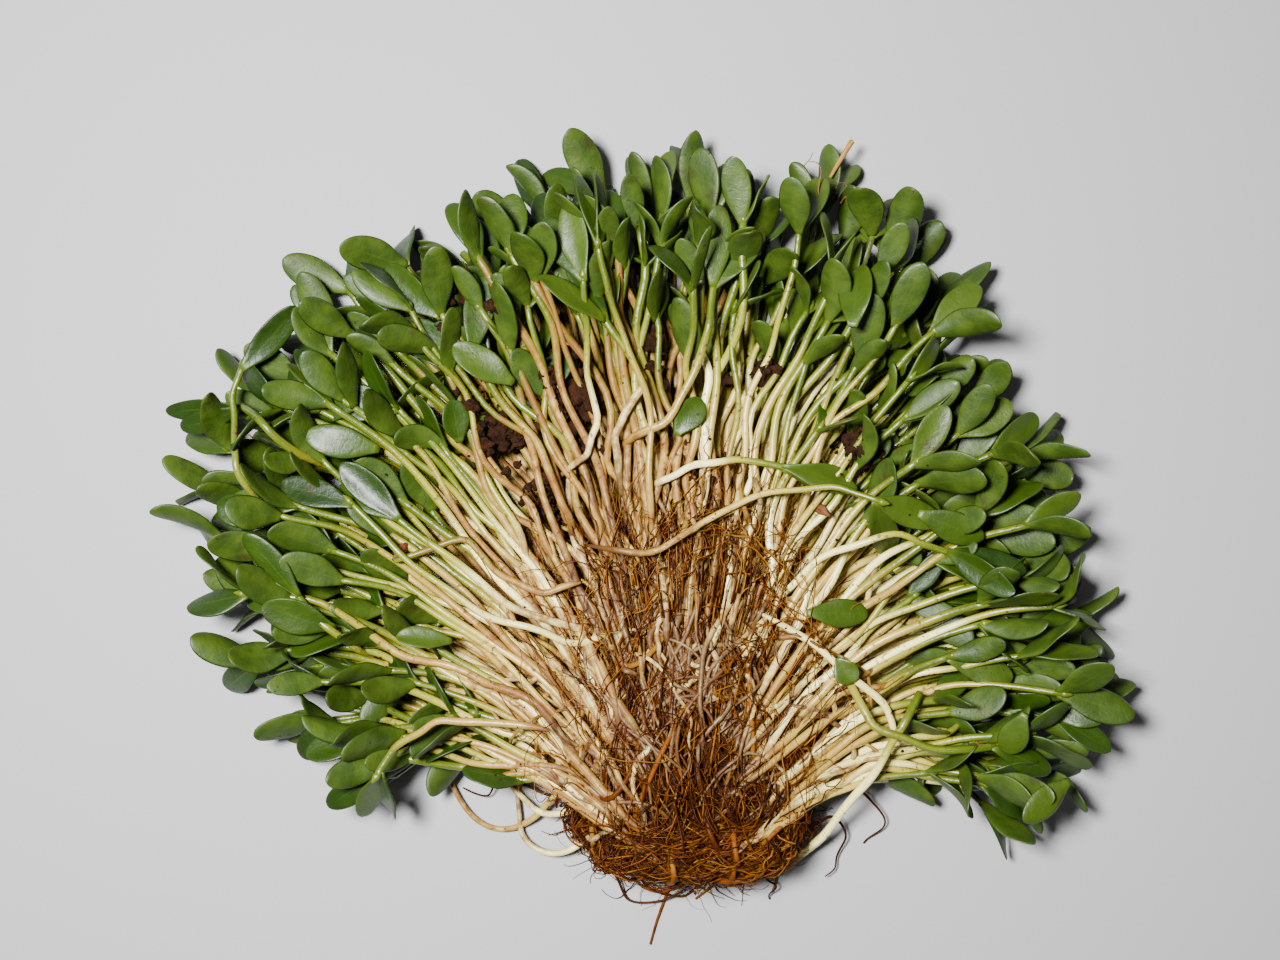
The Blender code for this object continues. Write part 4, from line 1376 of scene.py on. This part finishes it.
class SEEDLINGS_OT_loose(Operator):
    """Lay the loose leaves and the single seedlings that lie on top of the heap"""

    bl_idname = "seedlings.loose"
    bl_label = "Lay Loose Seedlings"

    def execute(self, context):
        sizes = context.scene.seedling_sizes
        rng = random.Random(SEED + LOOSE)
        heap = layout().heap
        growth = Growth()
        for plan, turns, stain, first in LOOSE_SEEDLINGS:
            stem = [point + Vector((0, 0, 1.3 * MM)) for point in draped_points(plan, heap)]
            for point, sunk in zip(stem, (0.35, 0.7, 0.9)):
                point.z *= sunk
            leaves = [stray_leaf(rng, stem, degrees, heap) for degrees in turns]
            for leaf in leaves:
                leaf.base.z += 0.5 * MM
                leaf.forward.z = max(leaf.forward.z, -0.15)
                leaf.forward.normalize()
            add_seedling(growth, Seedling(stem, leaves), rng, sizes, 0.2, stain, first=first)
        for x, y, turn, length, width in LOOSE_LEAVES:
            forward = heading_to(math.radians(turn))
            base = Vector((x, y, 0)) * MM
            tip = base + forward * length * MM
            low, middle, high = (seen_top(place) + 1.2 * MM for place in (base, (base + tip) / 2, tip))
            rise = clamp((high - low) / (length * MM), -STEEPEST_LOOSE_LEAF, STEEPEST_LOOSE_LEAF)
            base.z = max(low, middle - rise * length * MM / 2, high - rise * length * MM)
            forward.z = rise
            forward.normalize()
            normal = squared(Vector((*scatter(rng, 0.25, 0.25), 1)), forward)
            leaf = Leaf(base, forward, normal, length * MM, width * MM, rng.uniform(0, 0.4))
            add_blade(growth, leaf, rng, 1, rng.uniform(0.5, 1.0), rng.random(), sizes.leaf_thickness)
        growth.to_piece("loose_seedlings", plant_finishes(), "seedling")
        return {"FINISHED"}


class SEEDLINGS_OT_root_mat(Operator):
    """Grow the root mat: its dark cushion, the larger roots and the fine fibres"""

    bl_idname = "seedlings.root_mat"
    bl_label = "Grow Root Mat"

    def execute(self, context):
        sizes = context.scene.seedling_sizes
        self.cushion()
        self.large_roots()
        self.thick_roots(sizes.stem_feet)
        self.fibres(sizes.fibres)
        self.threads(sizes.threads)
        return {"FINISHED"}

    def cushion(self):
        """The lumpy body of the mat, a little inside its solid."""
        shape = bmesh.new()
        bmesh.ops.create_icosphere(shape, subdivisions=5, radius=1)
        for vertex in shape.verts:
            direction = vertex.co.normalized()
            point = lumpy_surface(direction)
            rough = noise.noise(point / (2.6 * MM)) + 0.6 * noise.noise(point / (1.2 * MM))
            vertex.co = point + direction * (0.8 * rough - 2.2) * MM
            vertex.co.z = max(vertex.co.z, 0.0)
        mesh = mesh_of("root_cushion", shape, finish("root_cushion"))
        place_piece("root_cushion", mesh, "root", "root_mat")

    def large_roots(self):
        """The roots that arch over the mat and those that trail on the surface."""
        growth = Growth()
        rng = random.Random(SEED + LARGE_ROOTS)
        tones = random.Random(SEED + ROOT_TONES)
        for _ in range(MAT_ROOTS):
            path = smooth_path(mat_root_points(rng), 16)
            add_tube(growth, path, np.full(16, MAT_ROOT_RADIUS), 7, tint=tones.uniform(0.35, 0.9))
        for plan in TRAILING_ROOTS:
            points = raised_points(plan, TRAILING_ROOT_RADIUS + 0.2 * MM)
            points[0].z += 3 * MM
            path = smooth_path(points, 30)
            radii = np.linspace(TRAILING_ROOT_RADIUS, 0.3 * MM, 30)
            add_tube(growth, path, radii, 7, tint=tones.uniform(0.3, 0.8))
        for plan in DRY_ROOTS:
            path = self.curled(plan, tones)
            radii = np.linspace(0.5, 0.2, len(path)) * MM
            add_tube(growth, path, radii, 6, tint=tones.uniform(0.1, 0.4))
        growth.to_piece("large_roots", (finish("root_fibre"),), "root")

    @staticmethod
    def curled(plan, rng):
        """A curl that starts inside the heap and lies down on the surface."""
        points = raised_points(plan, 1.2 * MM)
        for point, rise in zip(points, (9, 6, 3)):
            point.z += rise * MM
        path = smooth_path(points, 44)
        phase = rng.uniform(0, A_TURN)
        path[:, 2] += (1 + np.sin(np.linspace(0, 7, 44) + phase)) * 1.1 * MM
        path[:, 0] += np.sin(np.linspace(0, 15, 44) + phase) * 0.6 * MM
        return path

    def thick_roots(self, count):
        """Brown stem feet that run from the mat out over the heap, wind, and go under again."""
        growth = Growth()
        rng = random.Random(SEED + STEM_FEET)
        for _ in range(count):
            across = rng.choice((rng.uniform(0.04, 0.96), clamp(rng.gauss(0.58, 0.2), 0.04, 0.96)))
            foot, direction = mat_point(across), start_direction(across)
            middle = math.sin(math.pi * across)
            inward, outward = rng.uniform(2, 26 + 26 * middle) * MM, rng.uniform(6, 14 + 36 * middle) * MM
            point = foot - direction * inward + Vector((rng.gauss(0, 3), 0, 0)) * MM
            heading = math.atan2(direction.y, direction.x)
            heading += rng.gauss(0, rng.choice((0.25, 0.25, 0.8)) * middle)
            bend = rng.gauss(0, 0.14)
            cover, points = rng.uniform(-1.5, 1.4), []
            for step in range(11):
                under = layout().mat_top(point.x, point.y), layout().heap.top_at(point.x, point.y) - 2 * MM
                if step > 4 and max(under) <= 0:
                    break
                height = max(under) + (cover - 4.5 * (step / 5 - 1) ** 4) * MM
                points.append(Vector((point.x, point.y, max(height, 1 * MM))))
                point += heading_to(heading) * (inward + outward) / 10
                heading += bend + rng.gauss(0, 0.3)
                bend = -bend if rng.random() < 0.25 else bend
            path = smooth_path(points, 26)
            thick = rng.uniform(0.45, 1.1) * MM
            radii = thick * np.linspace(0.45, 1, 26)
            stain = rng.uniform(0.75, 1.5)
            add_tube(growth, path, radii, 7, span=(0, 0.75), tint=rng.random(), stain=stain)
        for plan in CURLS:
            path = self.curled(plan, rng)
            radii = np.linspace(1.05, 0.55, len(path)) * MM
            add_tube(growth, path, radii, 8, span=(0.5, 0), tint=rng.random(), stain=0.3)
        growth.to_piece("stem_feet", (finish("stem"),), "seedling")

    def fibres(self, count):
        """Fine roots that wander over every side of the mat, in line with the fan near its top."""
        halves = {"upper": Growth(), "lower": Growth()}
        rng = random.Random(SEED + FIBRES)
        for _ in range(count):
            direction = Vector((*scatter(rng, 1, 1), rng.gauss(0.35, 0.8))).normalized()
            heading = Vector(scatter(rng, 1, 1, 0.5))
            order = max(0.0, direction.y) * 1.6
            heading += Vector((direction.x * 0.4, 1, 0)) * order * rng.choice((-1, 1))
            lift, sway, phase = rng.uniform(-1.6, 1.2), rng.uniform(0.2, 1.8), rng.uniform(0, A_TURN)
            lift += rng.choice((0, 0, 0, 2.2))
            curl = rng.choice((0.35, 0.6, 0.9))
            points = []
            for step in range(rng.randint(7, 15)):
                high = (lift + sway * math.sin(0.9 * step + phase)) * MM
                point = lumpy_surface(direction) + direction * high
                point.z = max(point.z, 0.35 * MM)
                points.append(point)
                heading = heading - direction * heading.dot(direction)
                heading += Vector(scatter(rng, curl, curl, curl))
                direction = (direction + heading.normalized() * rng.uniform(0.05, 0.11)).normalized()
            path = smooth_path(points, len(points) + 3)
            thick = rng.choice(FIBRE_RADII) * MM
            radii = thick * np.linspace(1, 0.5, len(path))
            lean = scatter(rng, 1, 1, 1)
            half = "upper" if path[0, 1] > MAT_CENTRE.y + 8 * MM else "lower"
            add_tube(halves[half], path, radii, FIBRE_SIDES, lean=lean, tint=rng.betavariate(1.6, 1.9))
        for half, growth in halves.items():
            growth.to_piece(f"root_fibres_{half}", (finish("root_fibre"),), "root")

    def threads(self, count):
        """Fine roots that run out between the stems, and short ones on the surface below the mat."""
        growth = Growth()
        rng = random.Random(SEED + THREADS)
        for _ in range(count):
            across, up = rng.random(), rng.uniform(0.1, 1.05)
            if rng.random() < 0.7:
                across = clamp(rng.gauss(0.5, 0.13), 0.02, 0.98)
            begin, reach, drift = rng.uniform(-0.02, 0.14), rng.uniform(0.05, 0.28), rng.gauss(0, 0.03)
            if rng.random() < 0.06:
                drift, up = rng.gauss(0, 0.14), rng.uniform(0.95, 1.12)
            points = []
            for step in range(9):
                share = step / 8
                point = fan_point(clamp(across + drift * share, 0, 1), begin + reach * share, up)
                point += Vector(scatter(rng, 0.8, 0.8, 0.6)) * MM
                point.z = max(point.z, 0.4 * MM)
                points.append(point)
            points.insert(0, points[0] - start_direction(across) * 7 * MM)
            path = smooth_path(points, 20)
            radii = rng.uniform(0.14, 0.34) * MM * np.linspace(1, 0.4, 20)
            add_tube(growth, path, radii, FIBRE_SIDES, tint=rng.betavariate(2.2, 1.6))
        for _ in range(SURFACE_THREADS):
            turn = rng.uniform(-3.3, 0.2)
            start = mat_outline(turn)
            start.z = rng.uniform(1, 11) * MM
            heading = turn + rng.gauss(0, 0.7)
            bend = rng.gauss(0, 0.45)
            points, point = [], start - heading_to(turn) * rng.uniform(1, 7) * MM
            for step in range(rng.randint(5, 10)):
                points.append(point.copy())
                point += heading_to(heading) * rng.uniform(1.4, 2.8) * MM
                point.y = max(point.y, CAD_BOX[0].y + 0.5 * MM)
                point.z = max(0.3 * MM, point.z * 0.7)
                heading += bend + rng.gauss(0, 0.3)
            path = smooth_path(points, 3 * len(points))
            radii = rng.uniform(0.1, 0.32) * MM * np.linspace(1, 0.4, len(path))
            add_tube(growth, path, radii, FIBRE_SIDES, tint=rng.betavariate(2.0, 1.6))
        growth.to_piece("root_threads", (finish("root_fibre"),), "root")


class SEEDLINGS_OT_strays(Operator):
    """Lay the single seedlings that fell across the heap"""

    bl_idname = "seedlings.strays"
    bl_label = "Lay Fallen Seedlings"

    def execute(self, context):
        sizes = context.scene.seedling_sizes
        rng = random.Random(SEED + FALLEN)
        for name, seedling in layout().strays.items():
            growth = Growth()
            first, slot = (0.35, "root") if name == "stray_root" else (0.0, "seedling")
            add_seedling(growth, seedling, rng, sizes, stain=STRAY_STAINS[name], first=first)
            growth.to_piece(f"{name}_seedling", plant_finishes(), slot, name)
        return {"FINISHED"}


class SEEDLINGS_OT_soil(Operator):
    """Lay the lumps of soil and scatter crumbs over the heap"""

    bl_idname = "seedlings.soil"
    bl_label = "Lay Soil"

    def execute(self, context):
        rng = random.Random(SEED + SOIL)
        for i, (centre, radius) in enumerate(layout().soil):
            shape = lump(centre, radius, 3.7 * (i + 1), subdivisions=5, grain=0.2)
            name = f"soil_{i + 1}"
            place_piece(name, mesh_of(name, shape, finish("damp_soil")), "soil", f"soil_lump_{i + 1}")
        self.crumbs(rng, context.scene.seedling_sizes.crumbs)
        return {"FINISHED"}

    def crumbs(self, rng, count):
        """Crumbs near the lumps, on the mat and here and there on the stems."""
        whole = bmesh.new()
        for _ in range(count):
            kind = rng.random()
            if kind < AT_LUMPS:
                x, y, radius = rng.choice(SOIL_PATCHES)
                x, y = (x + rng.gauss(0, radius)) * MM, (y + rng.gauss(0, radius)) * MM
            elif kind < AT_LUMPS_OR_MAT:
                x, y = rng.gauss(-4, 15) * MM, rng.gauss(30, 28) * MM
            else:
                spot = fan_point(rng.random(), rng.uniform(0.1, 0.7), 0)
                x, y = spot.x, spot.y
            top = layout().heap.top_at(x, y)
            if top < 2 * MM:
                continue
            size, sunk = rng.choice(SMALL_CRUMBS) * MM, 0.0
            if kind < AT_LUMPS:
                size, sunk = rng.choice(LUMP_CRUMBS) * MM, rng.uniform(1.5, 5.5) * MM
            height = max(top + size * 0.1 - sunk, 1.5 * size)
            mesh = mesh_of("crumb", lump(Vector((x, y, height)), size, rng.uniform(0, 90), grain=0.8))
            whole.from_mesh(mesh)
            bpy.data.meshes.remove(mesh)
        place_piece("soil_crumbs", mesh_of("soil_crumbs", whole, finish("damp_soil")), "soil")


class SEEDLINGS_OT_scraps(Operator):
    """Drop the husks and the dry rootlets on the heap"""

    bl_idname = "seedlings.scraps"
    bl_label = "Drop Scraps"

    def execute(self, context):
        rng = random.Random(SEED + SCRAPS)
        growth = Growth()
        for x, y, turn, length in HUSKS:
            top = layout().heap.top_at(x * MM, y * MM)
            forward = heading_to(turn, rng.uniform(-0.15, 0.15)).normalized()
            normal = squared(Vector((*scatter(rng, 0.3, 0.3), 1)).normalized(), forward)
            base = Vector((x * MM, y * MM, top + 1.0 * MM))
            leaf = Leaf(base, forward, normal, length * MM, length * 0.5 * MM, rng.uniform(0.4, 1.2))
            add_blade(growth, leaf, rng, 0, rng.random(), 0.5, 0.7 * MM, (-0.7, -0.4))
        for x, y, turn in ROOTLETS:
            top = max(layout().heap.top_at(x * MM, (y - 6) * MM), 12 * MM)
            point, heading, points = Vector((x * MM, (y - 8) * MM, top)), turn, []
            for _ in range(7):
                points.append(point.copy())
                point += heading_to(heading, rng.gauss(0, 0.25)) * 2.0 * MM
                heading += rng.gauss(0, 0.6)
            path = smooth_path(points, 24)
            add_tube(growth, path, np.linspace(0.35, 0.12, 24) * MM, FIBRE_SIDES, tint=rng.random())
        start, end = (Vector((*place, 0)) * MM for place in DRY_STICK)
        start.z = end.z = seen_top((start + end) / 2) + 0.9 * MM
        add_tube(growth, smooth_path((start, end), 8), np.linspace(0.5, 0.85, 8) * MM, 7, tint=1.0)
        growth.to_piece("husks_and_rootlets", (finish("husk"),), "root")
        return {"FINISHED"}


class SEEDLINGS_OT_stage(Operator):
    """Set up the pale surface, the soft light and the camera that looks straight down"""

    bl_idname = "seedlings.stage"
    bl_label = "Set Stage"

    def execute(self, context):
        stage, scene = context.scene.seedling_stage, context.scene
        shape = bmesh.new()
        bmesh.ops.create_grid(shape, x_segments=8, y_segments=8, size=SURFACE_HALF_WIDTH)
        surface = bpy.data.objects.new("surface", mesh_of("surface", shape, finish("pale_surface")))
        scene.collection.objects.link(surface)

        data = bpy.data.cameras.new("camera")
        data.sensor_fit = "HORIZONTAL"
        data.angle = 2 * math.atan(stage.view_width / 2 / (stage.camera_height - VIEW_LEVEL))
        data.clip_start = 0.01
        camera = bpy.data.objects.new("camera", data)
        camera.location = VIEW_CENTRE + Vector((0, 0, stage.camera_height))
        scene.collection.objects.link(camera)
        scene.camera = camera

        data = bpy.data.lights.new("key", "AREA")
        data.size, data.energy = stage.light_size, stage.key_power
        light = bpy.data.objects.new("key", data)
        light.location = VIEW_CENTRE + LIGHT_AWAY
        light.rotation_euler = (VIEW_CENTRE - light.location).to_track_quat("-Z", "Y").to_euler()
        scene.collection.objects.link(light)

        world = bpy.data.worlds.new("soft_light")
        world.use_nodes = True
        background = world.node_tree.nodes["Background"]
        background.inputs["Color"].default_value = (1, 1, 1, 1)
        background.inputs["Strength"].default_value = stage.sky
        scene.world = world
        return {"FINISHED"}


class SEEDLINGS_PT_panel(Panel):
    """Sizes, colours and pieces of the clump"""

    bl_label = "Seedling Clump"
    bl_idname = "SEEDLINGS_PT_panel"
    bl_space_type = "VIEW_3D"
    bl_region_type = "UI"
    bl_category = "Seedlings"

    def draw(self, context):
        for group in ("seedling_sizes", "seedling_colours", "seedling_stage"):
            settings = getattr(context.scene, group)
            box = self.layout.box()
            for name in settings.__annotations__:
                box.prop(settings, name)
        for operator in OPERATORS:
            self.layout.operator(operator.bl_idname)


OPERATORS = (
    SEEDLINGS_OT_stage,
    SEEDLINGS_OT_bunches,
    SEEDLINGS_OT_strays,
    SEEDLINGS_OT_fill,
    SEEDLINGS_OT_root_mat,
    SEEDLINGS_OT_loose,
    SEEDLINGS_OT_soil,
    SEEDLINGS_OT_scraps,
)
SETTINGS = {
    "seedling_colours": SEEDLINGS_PG_colours,
    "seedling_sizes": SEEDLINGS_PG_sizes,
    "seedling_stage": SEEDLINGS_PG_stage,
}


def register():
    for each in (*SETTINGS.values(), *OPERATORS, SEEDLINGS_PT_panel):
        bpy.utils.register_class(each)
    for name, group in SETTINGS.items():
        setattr(bpy.types.Scene, name, PointerProperty(type=group))


def unregister():
    for name in SETTINGS:
        delattr(bpy.types.Scene, name)
    for each in reversed((*SETTINGS.values(), *OPERATORS, SEEDLINGS_PT_panel)):
        bpy.utils.unregister_class(each)


def main():
    register()
    for operator in OPERATORS:
        group, name = operator.bl_idname.split(".")
        getattr(getattr(bpy.ops, group), name)()


if __name__ == "__main__":
    main()
